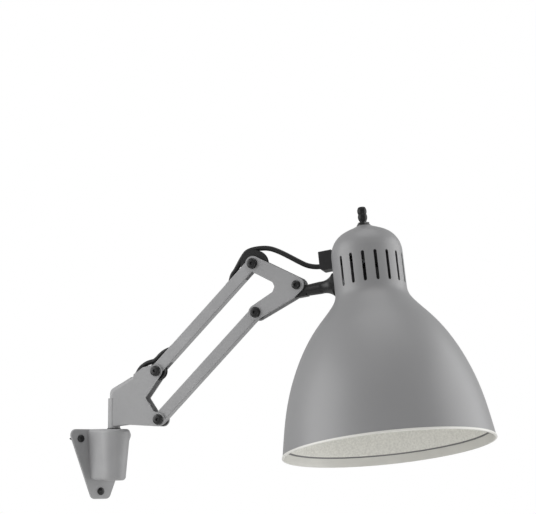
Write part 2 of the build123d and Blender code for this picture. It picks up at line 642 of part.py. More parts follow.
# ---- elbow ------------------------------------------------------------------------------------------
def elbow_face():
    """Outline of an elbow plate: three lugs, with a notch towards the bars."""
    notch = [plus(ELBOW_UP, point) for point in ELBOW_NOTCH]
    chin = plus(ELBOW_UP, ELBOW_CHIN)
    crown_up = touch(ELBOW_UP, ELBOW_LUG_R, plus(ELBOW_UP, ELBOW_TOP), 1)
    crown_head = touch(HEAD_AT, HEAD_LUG_R, crown_up, -1)
    chin_head = touch(HEAD_AT, HEAD_LUG_R, chin, 1)
    chin_low = touch(ELBOW_LOW, ELBOW_LUG_R, chin, -1)
    notch_low = touch(ELBOW_LOW, ELBOW_LUG_R, notch[2], 1)
    notch_up = touch(ELBOW_UP, ELBOW_LUG_R, notch[0], -1)
    face = outline(ELBOW_UP, crown_up, crown_head, HEAD_AT, chin_head, chin, chin_low, ELBOW_LOW, notch_low,
                   notch[2], notch[1], notch[0], notch_up)
    face = face + disc(ELBOW_UP, ELBOW_LUG_R) + disc(ELBOW_LOW, ELBOW_LUG_R) + disc(HEAD_AT, HEAD_LUG_R)
    face = soften(face, chin, ELBOW_CHIN_R)
    for point in notch:
        face = soften(face, point, ELBOW_NOTCH_R)
    return face


def elbow_plate(side):
    """One elbow plate; side is -1 for the near one and 1 for the far one."""
    low, high = sorted((side * HALF_GAP, side * HALF_OUT))
    plate = slab(elbow_face(), low, high)
    outer = plate.faces().sort_by(Axis.Y)[0 if side < 0 else -1]
    plate = chamfer(outer.outer_wire().edges(), ELBOW_EDGE)
    for at in (ELBOW_UP, ELBOW_LOW, HEAD_AT):
        plate -= across(at, PIVOT_R + SEAT, low - 1, high + 1)
    return plate - across(SADDLE_PIN_AT, SADDLE_PIN_R + SEAT, low - 1, high + 1)


def cable_saddle():
    """Grooved cable saddle on the elbow's upper pivot, between the sides of the bar."""
    drop = SADDLE_CHORD - SADDLE_R
    face = disc(ELBOW_UP, SADDLE_R) - Pos(*plus(ELBOW_UP, (0, drop))) * Rectangle(4 * SADDLE_R, 2 * SADDLE_R)
    body = slab(face + disc(ELBOW_UP, SADDLE_HUB_R), -SADDLE_T / 2, SADDLE_T / 2)
    groove = Rot(90, 0, 0) * Torus(SADDLE_R + CABLE_R - SADDLE_GROOVE, CABLE_R + GROOVE_EASE)
    body -= Pos(ELBOW_UP[0], 0, ELBOW_UP[1]) * groove
    body -= across(ELBOW_UP, BUSH_R + RUN, -SADDLE_T, SADDLE_T)
    return body - across(SADDLE_PIN_AT, SADDLE_PIN_R + SEAT, -SADDLE_T, SADDLE_T)


# ---- neck, in the neck's frame: origin on the head pivot, X along the neck ---------------------------
def knuckle():
    """Black tongue between the elbow plates that ends in the round neck below the pivot."""
    low = -NECK_DROP - NECK_R
    high = -NECK_DROP + NECK_R
    face = outline((-KNUCKLE_BACK, low), (KNUCKLE_END, low), (KNUCKLE_END, high), (KNUCKLE_R * 0.77, KNUCKLE_R * 0.64),
                   (0, 0), (-KNUCKLE_R, 0))
    body = slab(face + disc((0, 0), KNUCKLE_R), -KNUCKLE_W / 2, KNUCKLE_W / 2)
    collar = Pos(KNUCKLE_SHOULDER + NECK_R, 0, -NECK_DROP) * Box(2 * NECK_R, 4 * NECK_R, 8 * NECK_R)
    body = body - collar + lying(NECK_R, KNUCKLE_SHOULDER, KNUCKLE_END, -NECK_DROP)
    body -= across((0, 0), PIVOT_R + RUN, -KNUCKLE_W, KNUCKLE_W)
    return body - lying(NECK_BOLT_R + SEAT, NECK_BOLT_START, KNUCKLE_END + 1, -NECK_DROP)


def neck_bolt():
    """Long bolt from inside the cap, through the flared neck, into the knuckle."""
    shank = lying(NECK_BOLT_R, NECK_BOLT_START + EASE, NECK_HEAD_X + 1, -NECK_DROP)
    head = lying(NECK_BOLT_HEAD_R, NECK_HEAD_X, NECK_HEAD_X + NECK_BOLT_HEAD_H, -NECK_DROP)
    recess = extrude(Plane.YZ.offset(NECK_HEAD_X + NECK_BOLT_HEAD_H / 2) * hexagon(6.0), NECK_BOLT_HEAD_H)
    return shank + head - Pos(0, 0, -NECK_DROP) * recess


# ---- head, in the head's frame ----------------------------------------------------------------------
def neck_trumpet():
    """Flared black neck that hugs the shade and turns on the neck bolt."""
    start = KNUCKLE_END + SIDE - NECK_REACH
    waist = start + NECK_MID_X
    lip = -CAP_R - NECK_LIP
    end = -CAP_R + 2 * NECK_LIP
    middle = (waist * 0.37 + lip * 0.63, NECK_MID_R + 0.26 * (NECK_FLARE_R - NECK_MID_R))
    profile = [Line((start, 0), (start, NECK_R)), Line((start, NECK_R), (waist, NECK_MID_R)),
               ThreePointArc((waist, NECK_MID_R), middle, (lip, NECK_FLARE_R)),
               Line((lip, NECK_FLARE_R), (end, NECK_FLARE_R)), Line((end, NECK_FLARE_R), (end, 0)),
               Line((end, 0), (start, 0))]
    body = revolve(Plane.XZ * make_face(profile), Axis.X)
    body -= upright(CAP_R + SEAT, -3 * NECK_FLARE_R, 3 * NECK_FLARE_R)
    return body - lying(NECK_BOLT_R + RUN, start - 1, end + 1)


def neck_saddle():
    """Block inside the cap, rounded to its wall, that spreads the neck bolt's pull."""
    inner = NECK_WALL_X + NECK_SADDLE_T - NECK_REACH
    block = Pos(inner - NECK_SADDLE_W / 2, 0, 0) * Box(NECK_SADDLE_W, NECK_SADDLE_W, NECK_SADDLE_W)
    block = block & upright(CAP_R - SHADE_WALL - SEAT, -NECK_SADDLE_W, NECK_SADDLE_W)
    return block - lying(NECK_BOLT_R + RUN, -2 * CAP_R, inner + 1)


def wave_washer():
    """Sprung washer that holds the shade where it is turned."""
    start = NECK_WALL_X + NECK_SADDLE_T + SIDE - NECK_REACH
    return lying(WAVE_R, start, start + WAVE_T) - lying(NECK_BOLT_R + RUN, start - 1, start + WAVE_T + 1)


def inward(edge, share):
    """Unit normal of an edge at a share of its length, to the right of its run."""
    way = edge % share
    return Vector(way.Y, -way.X)


def skin(edges, wall):
    """Closed profile between a run of edges and its copy, moved by a wall to the right of the run."""
    shifts = [inward(edges[0], 0) * wall]
    for before, after in zip(edges, edges[1:]):
        middle = (inward(before, 1) + inward(after, 0)).normalized()
        shifts.append(middle * (wall / middle.dot(inward(after, 0))))
    shifts.append(inward(edges[-1], 1) * wall)
    inner = []
    for edge, first, last in zip(edges, shifts, shifts[1:]):
        shares = [step / SKIN_STEPS for step in range(1, SKIN_STEPS)]
        between_ends = [edge @ share + inward(edge, share) * wall for share in shares]
        start = edge @ 0 + first
        end = edge @ 1 + last
        if edge.geom_type == GeomType.LINE:
            inner.append(Line(start, end))
        elif edge.geom_type == GeomType.CIRCLE:
            inner.append(ThreePointArc(start, between_ends[SKIN_STEPS // 2 - 1], end))
        else:
            inner.append(Spline(start, *between_ends, end))
    caps = [Line(edges[0] @ 0, inner[0] @ 0), Line(edges[-1] @ 1, inner[-1] @ 1)]
    return make_face(edges + inner + caps)


def shade_line():
    """Half section of the shade's outside, from the flat top to the mouth."""
    lip_r = MOUTH_R - LIP_SLOPE * LIP_H
    lip_z = MOUTH_Z + LIP_H
    bell = Spline((CAP_R, BELL_START_Z), *BELL, (lip_r, lip_z))
    return [Line((0, CAP_TOP_Z), (CAP_FLAT_R, CAP_TOP_Z)),
            Spline((CAP_FLAT_R, CAP_TOP_Z), *CAP_DOME, (CAP_R, CAP_WALL_Z)),
            Line((CAP_R, CAP_WALL_Z), (CAP_R, BELL_START_Z)),
            bell,
            Line((lip_r, lip_z), (MOUTH_R, MOUTH_Z))]


def shade_shell():
    """Spun shade in one piece: domed cap, slotted neck and bell."""
    shell = revolve(Plane.XZ * skin(shade_line(), SHADE_WALL), Axis.Z)
    slot = Plane.YZ.offset(CAP_R - 6) * Pos(0, SLOT_MID_Z) * Rot(0, 0, 90) * SlotOverall(SLOT_LENGTH, SLOT_W)
    cutter = extrude(slot, 12)
    for index in range(SLOT_COUNT):
        shell -= Rot(0, 0, (index - (SLOT_COUNT - 1) / 2) * SLOT_PITCH) * cutter
    shell -= upright(SWITCH_HOLE_R, CAP_TOP_Z - 5, CAP_TOP_Z + 5)
    shell -= lying(NECK_BOLT_R + RUN, -CAP_R - 5, -CAP_R + 5)
    return shell - lying(RELIEF_SPIGOT_R + SEAT, -CAP_R - 5, -CAP_R + 5, RELIEF_HOLE_Z)


def shade_rim():
    """Pale band inside the shade's lip, with a hem over its edge."""
    down = Vector(LIP_SLOPE, -1).normalized()
    out = Vector(1, LIP_SLOPE).normalized()
    edge = Vector(MOUTH_R, MOUTH_Z)
    places = [(SEAT + RIM_T, -RIM_OUT_H), (SEAT + RIM_T, SEAT + RIM_T), (-SHADE_WALL - SEAT - RIM_T, SEAT + RIM_T),
              (-SHADE_WALL - SEAT - RIM_T, -RIM_IN_H), (-SHADE_WALL - SEAT, -RIM_IN_H),
              (-SHADE_WALL - SEAT, SEAT), (SEAT, SEAT), (SEAT, -RIM_OUT_H)]
    points = [edge + out * side + down * along for side, along in places]
    return spun(Polyline(*[(p.X, p.Y) for p in points], close=True))


def reflector():
    """Spun inner reflector on the lampholder, ending a little above the mouth."""
    start = HOLDER_R + EASE
    flat = Line((start, REFLECTOR_Z), (REFLECTOR_FLAT_R, REFLECTOR_Z))
    curve = Spline((REFLECTOR_FLAT_R, REFLECTOR_Z), *REFLECTOR_BELL, REFLECTOR_MOUTH)
    return revolve(Plane.XZ * skin([flat, curve], REFLECTOR_T), Axis.Z)


def reflector_ring():
    """Ring nut that clamps the reflector against the lampholder's flange."""
    top = REFLECTOR_Z - REFLECTOR_T - SIDE
    return ring(RING_R, HOLDER_R + SEAT, top - RING_H, top)


def hanger():
    """Strap bent into a square loop under the cap; it carries the switch and the lampholder."""
    height = HANGER_TOP_Z - HANGER_LOW_Z
    loop = Pos(0, 0, HANGER_LOW_Z + height / 2) * Box(HANGER_W, 2 * HANGER_Y + HANGER_T, height)
    loop -= Pos(0, 0, HANGER_LOW_Z + height / 2) * Box(2 * HANGER_W, 2 * HANGER_Y - HANGER_T, height - 2 * HANGER_T)
    loop += upright(HANGER_BOSS_R, HANGER_TOP_Z, BOSS_TOP_Z)
    loop -= upright(SWITCH_BUSH_R + EASE, HANGER_TOP_Z - 3, BOSS_TOP_Z + 1)
    return loop - upright(NIPPLE_R + EASE, HANGER_LOW_Z - 1, HANGER_LOW_Z + 3)


def nipple():
    """Threaded tube that joins the lampholder to the hanger."""
    return ring(NIPPLE_R, NIPPLE_BORE_R, HOLDER_TOP_Z - NIPPLE_IN, HANGER_LOW_Z + HANGER_T + NIPPLE_NUT_H + 1)


def nipple_nut(low):
    """Flat nut on the nipple."""
    body = extrude(Plane.XY.offset(low) * RegularPolygon(NIPPLE_NUT_R, 6), NIPPLE_NUT_H)
    return body - upright(NIPPLE_R + SEAT, low - 1, low + NIPPLE_NUT_H + 1)


def holder_cap():
    """Domed upper half of the lampholder."""
    bore = NIPPLE_R + SEAT
    inner = HOLDER_R - HOLDER_WALL
    top = HOLDER_TOP_Z
    points = [(bore, top), (HOLDER_NECK_R, top), (HOLDER_SHOULDER_R, top - 5), (HOLDER_R, top - 9),
              (HOLDER_R, HOLDER_SPLIT_Z), (inner, HOLDER_SPLIT_Z), (inner, top - 9),
              (HOLDER_SHOULDER_R - 2, top - 6.5), (HOLDER_NECK_R, top - 2.8), (bore, top - 2.8)]
    return spun(Polyline(*points, close=True))


def holder_skirt():
    """Lower half of the lampholder round the bulb's thread, with the reflector's flange."""
    skirt = ring(HOLDER_R, HOLDER_R - HOLDER_WALL, HOLDER_LOW_Z, HOLDER_SPLIT_Z)
    seat = REFLECTOR_Z + SIDE
    return skirt + ring(HOLDER_R + HOLDER_FLANGE, HOLDER_R - 0.5, seat, seat + HOLDER_FLANGE_H)


def holder_insulator():
    """Ceramic disc that carries the contacts."""
    return ring(HOLDER_R - HOLDER_WALL - SEAT, RIVET_R + SEAT, INSULATOR_Z, HOLDER_SPLIT_Z)


def bulb_sleeve():
    """Metal sleeve that takes the bulb's thread."""
    foot = INSULATOR_Z - SLEEVE_LENGTH
    sleeve = ring(SLEEVE_R + SLEEVE_T, SLEEVE_R, foot, INSULATOR_Z)
    return sleeve + ring(HOLDER_R - HOLDER_WALL - EASE, SLEEVE_R, foot, foot + SLEEVE_FOOT)


def centre_contact():
    """Sprung tongue that touches the bulb's tip, riveted through the insulator."""
    tongue = Pos(3, 0, INSULATOR_Z - SLEEVE_T / 2) * Box(12, 5, SLEEVE_T)
    tip = Pos(-2, 0, INSULATOR_Z - 2) * Rot(0, -25, 0) * Box(7, 5, SLEEVE_T)
    return tongue + tip + upright(RIVET_R, INSULATOR_Z - SLEEVE_T, HOLDER_SPLIT_Z + 3)


def holder_lead(side):
    """Insulated wire from the switch through the nipple."""
    return upright(LEAD_R, HOLDER_SPLIT_Z + 3, SWITCH_TOP_Z - SWITCH_H, side * LEAD_X, 0)


def switch_body():
    """Rotary switch under the cap, with its threaded bush through the top."""
    body = upright(SWITCH_R, SWITCH_TOP_Z - SWITCH_H, SWITCH_TOP_Z) + upright(SWITCH_BUSH_R, SWITCH_TOP_Z, STUD_TOP_Z)
    return body - upright(STEM_R + RUN, SWITCH_TOP_Z - STEM_IN - 1, STUD_TOP_Z + 1)


def switch_nut():
    """Flanged nut on top of the cap."""
    flange = upright(SWITCH_NUT_R, CAP_TOP_Z, CAP_TOP_Z + SWITCH_FLANGE_H)
    body = extrude(Plane.XY.offset(CAP_TOP_Z) * RegularPolygon(SWITCH_NUT_R - 1, 6), SWITCH_NUT_H)
    return flange + body - upright(SWITCH_BUSH_R + SEAT, CAP_TOP_Z - 1, STUD_TOP_Z + 1)


def switch_knob():
    """Bobbin-shaped knob: a collar, then two rounded rolls with a waist between them."""
    foot = KNOB_LOW_Z - KNOB_COLLAR_H
    mid = (KNOB_LOW_Z + KNOB_TOP_Z) / 2
    quarter = (KNOB_TOP_Z - KNOB_LOW_Z) / 4
    edge = KNOB_R - 1.5
    bore = STEM_R + SEAT
    profile = [Line((bore, foot), (KNOB_COLLAR_R, foot)), Line((KNOB_COLLAR_R, foot), (edge, KNOB_LOW_Z)),
               ThreePointArc((edge, KNOB_LOW_Z), (KNOB_R, KNOB_LOW_Z + quarter), (KNOB_WAIST_R, mid)),
               ThreePointArc((KNOB_WAIST_R, mid), (KNOB_R, KNOB_TOP_Z - quarter), (edge, KNOB_TOP_Z)),
               Line((edge, KNOB_TOP_Z), (0, KNOB_TOP_Z)), Line((0, KNOB_TOP_Z), (0, KNOB_LOW_Z + KNOB_BORE)),
               Line((0, KNOB_LOW_Z + KNOB_BORE), (bore, KNOB_LOW_Z + KNOB_BORE)),
               Line((bore, KNOB_LOW_Z + KNOB_BORE), (bore, foot))]
    return spun(profile)


def strain_relief():
    """Block on the cap's wall that grips the cable, with a spigot through the wall."""
    inner = -CAP_R + NECK_LIP * 4
    cut = RELIEF_CHAMFER
    face = outline((-RELIEF_OUT_X, RELIEF_LOW_Z + cut), (-RELIEF_OUT_X + cut, RELIEF_LOW_Z), (inner, RELIEF_LOW_Z),
                   (inner, RELIEF_TOP_Z), (-RELIEF_OUT_X, RELIEF_TOP_Z))
    block = slab(face, -RELIEF_W / 2, RELIEF_W / 2)
    block = fillet(block.edges().filter_by(Axis.X).group_by(Axis.Z)[-1], RELIEF_EDGE)
    block -= upright(CAP_R + SEAT, 0, 2 * RELIEF_TOP_Z)
    block += lying(RELIEF_SPIGOT_R, -CAP_R - 3, -CAP_R + RELIEF_SPIGOT_IN, RELIEF_HOLE_Z)
    return block - lying(CABLE_R + SEAT, -2 * CAP_R, 0, RELIEF_HOLE_Z)


def relief_nut():
    """Nut on the strain relief's spigot, inside the cap."""
    low = -CAP_R + SHADE_WALL + 0.8
    body = extrude(Plane.YZ.offset(low) * Pos(0, RELIEF_HOLE_Z) * RegularPolygon(RELIEF_NUT_R, 6), RELIEF_NUT_H)
    return body - lying(RELIEF_SPIGOT_R + SEAT, low - 1, low + RELIEF_NUT_H + 1, RELIEF_HOLE_Z)


# ---- build ------------------------------------------------------------------------------------------
save("wall_plate", wall_plate())
save("wall_screws", [wall_screw(at) for at in SCREW_PLACES])
save("swivel_socket", swivel_socket())
save("socket_screws", [socket_screw(at) for at in SOCKET_SCREW_PLACES])
save("upper_post_bush", upper_post_bush(), POST_AXIS)
save("lower_post_bush", ring(BUSH_OUT_R, SPIGOT_R + RUN, LOW_BUSH_Z, LOW_BUSH_Z + BUSH_LENGTH), POST_AXIS)
cable("cable_bracket", WALL_ROUTE, Location((0, 0, 0)))

save("swivel_post", swivel_post(), ARM)
save("post_circlip", post_circlip(), ARM)
save("base_fork", base_fork(), ARM)
save("fork_spacer", fork_spacer(), ARM)
save("base_pivot_bolts", [pivot_bolt(at, BOLT_HEAD_R) for at in (BASE_PIVOT, BASE_LOW)], ARM)
save("base_pivot_nuts", [pivot_nut(at) for at in (BASE_PIVOT, BASE_LOW)], ARM)
save("base_washers", washers(BASE_PIVOT, BAR_W) + washers(BASE_LOW, BAR_W), ARM)
bar_start = placed(BAR_IN_ARM, BAR_ROUTE[0])
bar_second = placed(BAR_IN_ARM, BAR_ROUTE[1])
run_back = RUN_OUT / (Vector(*bar_second) - Vector(*bar_start)).length
cable("cable_fork", FORK_ROUTE + [between(bar_start, bar_second, -run_back), bar_start], ARM)

UPPER = bar_frame(BASE_PIVOT)
LOWER = bar_frame(BASE_LOW)
save("upper_bar", upper_bar(), UPPER)
save("upper_bar_bushes", [bar_bush(0), bar_bush(BAR_LENGTH)], UPPER)
save("bar_grommets", [bar_grommet(x_mid) for x_mid in HOLE_PLACES], UPPER)
save("cable_roller", cable_roller(), UPPER)
cable("cable_bar", BAR_ROUTE, UPPER)
save("lower_bar", bar(), LOWER)
save("lower_bar_bushes", [bar_bush(0), bar_bush(BAR_LENGTH, FREE_PIVOT)], LOWER)

save("elbow_plate_near", elbow_plate(-1), ARM)
save("elbow_plate_far", elbow_plate(1), ARM)
save("elbow_pivot_bolts", [pivot_bolt(at, BOLT_HEAD_R) for at in (ELBOW_UP, ELBOW_LOW)], ARM)
save("elbow_pivot_nuts", [pivot_nut(at) for at in (ELBOW_UP, ELBOW_LOW)], ARM)
save("elbow_washers", washers(ELBOW_UP, BAR_W) + washers(ELBOW_LOW, BAR_W), ARM)
save("cable_saddle", cable_saddle(), ARM)
save("saddle_pin", across(SADDLE_PIN_AT, SADDLE_PIN_R, -HALF_OUT, HALF_OUT), ARM)
save("head_pivot_bolt", pivot_bolt(HEAD_AT, HEAD_BOLT_R), ARM)
save("head_pivot_nut", pivot_nut(HEAD_AT), ARM)
bar_last = placed(BAR_IN_ARM, BAR_ROUTE[-2])
bar_end = placed(BAR_IN_ARM, BAR_ROUTE[-1])
run_on = 1 + ELBOW_RUN_IN / (Vector(*bar_end) - Vector(*bar_last)).length
neck_start = between(ELBOW_ROUTE[-1], NECK_ROUTE[0], 0.5)
cable("cable_elbow", [bar_end, between(bar_last, bar_end, run_on)] + ELBOW_ROUTE + [neck_start], ARM)

save("knuckle", knuckle(), NECK)
save("knuckle_washers", washers((0, 0), KNUCKLE_W), NECK)
save("neck_bolt", neck_bolt(), NECK)
head_points = [placed(HEAD_IN_ARM, point) for point in HEAD_ROUTE]
head_start = between(NECK_ROUTE[-1], head_points[0], 0.5)
cable("cable_neck", [neck_start] + NECK_ROUTE + [head_start], ARM)

save("neck_trumpet", neck_trumpet(), HEAD)
save("neck_saddle", neck_saddle(), HEAD)
save("wave_washer", wave_washer(), HEAD)
save("shade_shell", shade_shell(), HEAD)
save("shade_rim", shade_rim(), HEAD)
save("reflector", reflector(), HEAD)
save("reflector_ring", reflector_ring(), HEAD)
save("hanger", hanger(), HEAD)
save("nipple", nipple(), HEAD)
save("nipple_nuts", [nipple_nut(HOLDER_TOP_Z), nipple_nut(HANGER_LOW_Z + HANGER_T)], HEAD)
save("holder_cap", holder_cap(), HEAD)
save("holder_skirt", holder_skirt(), HEAD)
save("holder_insulator", holder_insulator(), HEAD)
save("bulb_sleeve", bulb_sleeve(), HEAD)
save("centre_contact", centre_contact(), HEAD)
save("holder_leads", [holder_lead(-1), holder_lead(1)], HEAD)
save("switch_body", switch_body(), HEAD)
save("switch_nut", switch_nut(), HEAD)
save("strain_relief", strain_relief(), HEAD)
save("relief_nut", relief_nut(), HEAD)
cable("cable_head", [head_start] + head_points, ARM)

save("switch_stem", upright(STEM_R, SWITCH_TOP_Z - STEM_IN, KNOB_LOW_Z + KNOB_BORE), HEAD)
save("switch_knob", switch_knob(), HEAD)
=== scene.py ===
"""Looks of an articulating wall lamp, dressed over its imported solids.

Lengths are written in millimetres where they come from the drawing and turned to metres once, by MM. The
frame is the part's own: the wall is the plane Y = 0, +Z is up and the lamp reaches out towards -Y.
"""

import bmesh
import bpy
import json
import logging
import math
from dataclasses import dataclass, field
from enum import Enum
from mathutils import Matrix, Vector

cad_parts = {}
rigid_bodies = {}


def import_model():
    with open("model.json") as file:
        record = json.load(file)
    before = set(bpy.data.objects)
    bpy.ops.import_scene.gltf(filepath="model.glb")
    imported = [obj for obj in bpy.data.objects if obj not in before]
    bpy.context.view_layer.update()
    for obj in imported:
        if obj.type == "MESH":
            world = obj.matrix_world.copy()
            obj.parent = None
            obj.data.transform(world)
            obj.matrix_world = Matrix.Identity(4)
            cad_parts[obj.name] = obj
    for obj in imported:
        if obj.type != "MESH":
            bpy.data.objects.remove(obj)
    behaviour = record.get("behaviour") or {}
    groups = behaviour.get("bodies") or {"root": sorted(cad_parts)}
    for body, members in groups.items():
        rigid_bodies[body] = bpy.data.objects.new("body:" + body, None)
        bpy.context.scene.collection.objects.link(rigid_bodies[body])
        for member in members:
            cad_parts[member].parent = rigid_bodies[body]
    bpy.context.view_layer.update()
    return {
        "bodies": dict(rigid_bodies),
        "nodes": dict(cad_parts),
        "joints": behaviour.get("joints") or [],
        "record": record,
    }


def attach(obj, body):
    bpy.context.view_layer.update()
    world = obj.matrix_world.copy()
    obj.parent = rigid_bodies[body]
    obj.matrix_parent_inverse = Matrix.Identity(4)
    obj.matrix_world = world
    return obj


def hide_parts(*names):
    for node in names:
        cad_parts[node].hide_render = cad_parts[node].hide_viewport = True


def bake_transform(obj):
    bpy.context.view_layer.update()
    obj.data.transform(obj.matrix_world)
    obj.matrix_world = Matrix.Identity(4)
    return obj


LOG = logging.getLogger("wall_lamp")
MM = 0.001
SKIN_WELD = 2e-6
LATHE_WELD = 1e-6

Point = tuple[float, float, float]
Profile = list[tuple[float, float]]


# ---- frames of the drawing ---------------------------------------------------------------------------
def turn(degrees: float, axis: str) -> Matrix:
    """A rotation about one axis."""
    return Matrix.Rotation(math.radians(degrees), 4, axis)


def shift(x: float, y: float, z: float) -> Matrix:
    """A move in millimetres."""
    return Matrix.Translation((x * MM, y * MM, z * MM))


# The arm lies in a vertical plane through the swivel, and its pivots are (reach, height) in that plane.
SWIVEL_OUT = 36
ARM_HEADING = 32 - 90
BAR_LENGTH = 200.0
BAR_RISE = 45
PIVOT_GAP = 66
PIVOT_LEAN = 4
NECK_RISE = 8.27
HEAD_LEAN = 6.5

BASE_PIVOT = (66.4, 126.3)
ELBOW_PIVOT = (BASE_PIVOT[0] + BAR_LENGTH * math.cos(math.radians(BAR_RISE)),
               BASE_PIVOT[1] + BAR_LENGTH * math.sin(math.radians(BAR_RISE)))
HEAD_PIVOT = (ELBOW_PIVOT[0] + 62.6, ELBOW_PIVOT[1] - 31.2)
LOWER_STEP = (PIVOT_GAP * math.sin(math.radians(PIVOT_LEAN)),
              -PIVOT_GAP * math.cos(math.radians(PIVOT_LEAN)))

ARM = shift(0, -SWIVEL_OUT, 0) @ turn(ARM_HEADING, "Z")
BAR = ARM @ shift(BASE_PIVOT[0], 0, BASE_PIVOT[1]) @ turn(-BAR_RISE, "Y")
NECK = ARM @ shift(HEAD_PIVOT[0], 0, HEAD_PIVOT[1]) @ turn(-NECK_RISE, "Y")
HEAD = NECK @ shift(98.7, 0, -8.7) @ turn(-HEAD_LEAN, "X")


class Body(Enum):
    """The rigid bodies of the lamp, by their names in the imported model."""

    WALL = "wall_mount"
    TURRET = "turret"
    UPPER_ARM = "upper_arm"
    LOWER_ARM = "lower_arm"
    ELBOW = "elbow"
    NECK = "neck"
    HEAD = "head"
    KNOB = "knob"


# ---- colours and nodes -------------------------------------------------------------------------------
def linear(code: str) -> tuple[float, float, float, float]:
    """Turn an sRGB hex colour to a linear one.

    Args:
        code: six hex digits after a hash sign.

    Returns:
        The linear red, green, blue and an alpha of 1.
    """
    parts = [int(code[i:i + 2], 16) / 255 for i in (1, 3, 5)]
    red, green, blue = [p / 12.92 if p <= 0.04045 else ((p + 0.055) / 1.055) ** 2.4 for p in parts]
    return (red, green, blue, 1.0)


def add_node(tree: bpy.types.NodeTree, kind: str, settings: dict[str | int, object] | None = None,
             links: dict[str | int, bpy.types.NodeSocket] | None = None) -> bpy.types.Node:
    """Add one node with its settings and its incoming links.

    Args:
        tree: the node tree that takes the node.
        kind: the node's type name.
        settings: attribute names, or input names and numbers, with their values.
        links: input names or numbers with the sockets that feed them.

    Returns:
        The new node.
    """
    node = tree.nodes.new(kind)
    for key, value in (settings or {}).items():
        if isinstance(key, str) and hasattr(node, key):
            setattr(node, key, value)
        else:
            node.inputs[key].default_value = value
    for key, socket in (links or {}).items():
        tree.links.new(socket, node.inputs[key])
    return node


@dataclass(frozen=True)
class Finish:
    """One real finish: two tones that drift into each other, and a grain that the light catches."""

    name: str
    tone: str
    drift: str
    rough: float
    rough_spread: float
    metallic: float
    cloud_mm: float
    grain_mm: float
    grain_height_mm: float
    specular: float = 0.5
    stretch: Point = (1.0, 1.0, 1.0)

    def material(self) -> bpy.types.Material:
        """Make the finish as a node material, or find it where it was made before.

        Returns:
            The material, with colour, roughness and bump that vary over the piece.
        """
        known = bpy.data.materials.get(self.name)
        if known is not None:
            return known
        made = bpy.data.materials.new(self.name)
        made.use_nodes = True
        tree = made.node_tree
        tree.nodes.clear()
        place = add_node(tree, "ShaderNodeTexCoord")
        mapping = add_node(tree, "ShaderNodeMapping", {"Scale": self.stretch},
                           {"Vector": place.outputs["Object"]})
        cloud = add_node(tree, "ShaderNodeTexNoise",
                         {"Scale": 1 / (self.cloud_mm * MM), "Detail": 4.0, "Roughness": 0.55},
                         {"Vector": mapping.outputs[0]})
        grain = add_node(tree, "ShaderNodeTexNoise",
                         {"Scale": 1 / (self.grain_mm * MM), "Detail": 2.0, "Roughness": 0.5},
                         {"Vector": mapping.outputs[0]})
        tones = add_node(tree, "ShaderNodeValToRGB", None, {"Fac": cloud.outputs["Fac"]})
        tones.color_ramp.elements[0].position = 0.3
        tones.color_ramp.elements[1].position = 0.7
        tones.color_ramp.elements[0].color = linear(self.tone)
        tones.color_ramp.elements[1].color = linear(self.drift)
        gloss = add_node(tree, "ShaderNodeMapRange",
                         {"To Min": self.rough - self.rough_spread,
                          "To Max": self.rough + self.rough_spread},
                         {"Value": cloud.outputs["Fac"]})
        bump = add_node(tree, "ShaderNodeBump",
                        {"Strength": 1.0, "Distance": self.grain_height_mm * MM},
                        {"Height": grain.outputs["Fac"]})
        shader = add_node(tree, "ShaderNodeBsdfPrincipled",
                          {"Metallic": self.metallic, "Specular IOR Level": self.specular},
                          {"Base Color": tones.outputs["Color"], "Roughness": gloss.outputs[0],
                           "Normal": bump.outputs["Normal"]})
        add_node(tree, "ShaderNodeOutputMaterial", None, {"Surface": shader.outputs[0]})
        return made


# Polyester powder paint on the steel plate, post, fork and elbow plates: satin, with a fine orange peel
# about 1 mm wide.
GREY_POWDER = Finish("grey_powder_paint", "#8d8d8e", "#939394", 0.42, 0.03, 0.0, 60, 1.1, 0.012)
# The same paint on the cast socket and the bars, whose skin shows through as a coarser grain.
CAST_POWDER = Finish("grey_powder_on_casting", "#8f8f90", "#969697", 0.46, 0.04, 0.0, 30, 1.8, 0.03)
# Wet satin paint on spun aluminium: smoother than powder, so that the side lights draw out into bands.
SHADE_SATIN = Finish("satin_paint_on_spun_shade", "#838384", "#878788", 0.4, 0.02, 0.0, 120, 0.9, 0.006)
# White enamel on the lip's inner band and its hem, a little yellowed by the lamp's heat.
RIM_ENAMEL = Finish("white_enamel_on_lip_band", "#cfcec9", "#d5d4cf", 0.38, 0.04, 0.0, 25, 0.9, 0.008)
# Inside of the bell: matt white enamel with a stipple of about 2.5 mm, which spreads the light.
WHITE_STIPPLE = Finish("white_stipple_enamel", "#d3d2cc", "#e9e8e2", 0.6, 0.06, 0.0, 2.6, 2.4, 0.16)
# Black oxide on button-head bolts and screws: dark metal with a low sheen.
BLACK_OXIDE = Finish("black_oxide_steel", "#0d0d0e", "#151516", 0.3, 0.05, 0.0, 9, 0.6, 0.008, 0.45)
# Black powder paint on the cast knuckle and neck: satin, nearly smooth.
BLACK_POWDER = Finish("black_powder_paint", "#0c0c0d", "#131314", 0.36, 0.05, 0.0, 30, 1.0, 0.02, 0.4)
# Glass-filled nylon of the strain relief, saddle, roller and knob: moulded, with a spark grain.
BLACK_NYLON = Finish("black_moulded_nylon", "#0c0c0d", "#141415", 0.44, 0.05, 0.0, 12, 0.7, 0.02, 0.3)
# Acetal of the bushes and washers: waxy and smooth.
BLACK_ACETAL = Finish("black_acetal", "#111112", "#171718", 0.32, 0.03, 0.0, 20, 1.5, 0.004, 0.35)
# Steatite of the lampholder's disc: glossy off-white ceramic.
CERAMIC = Finish("white_steatite", "#e6e2d8", "#ece9e0", 0.3, 0.03, 0.0, 30, 2.5, 0.006)
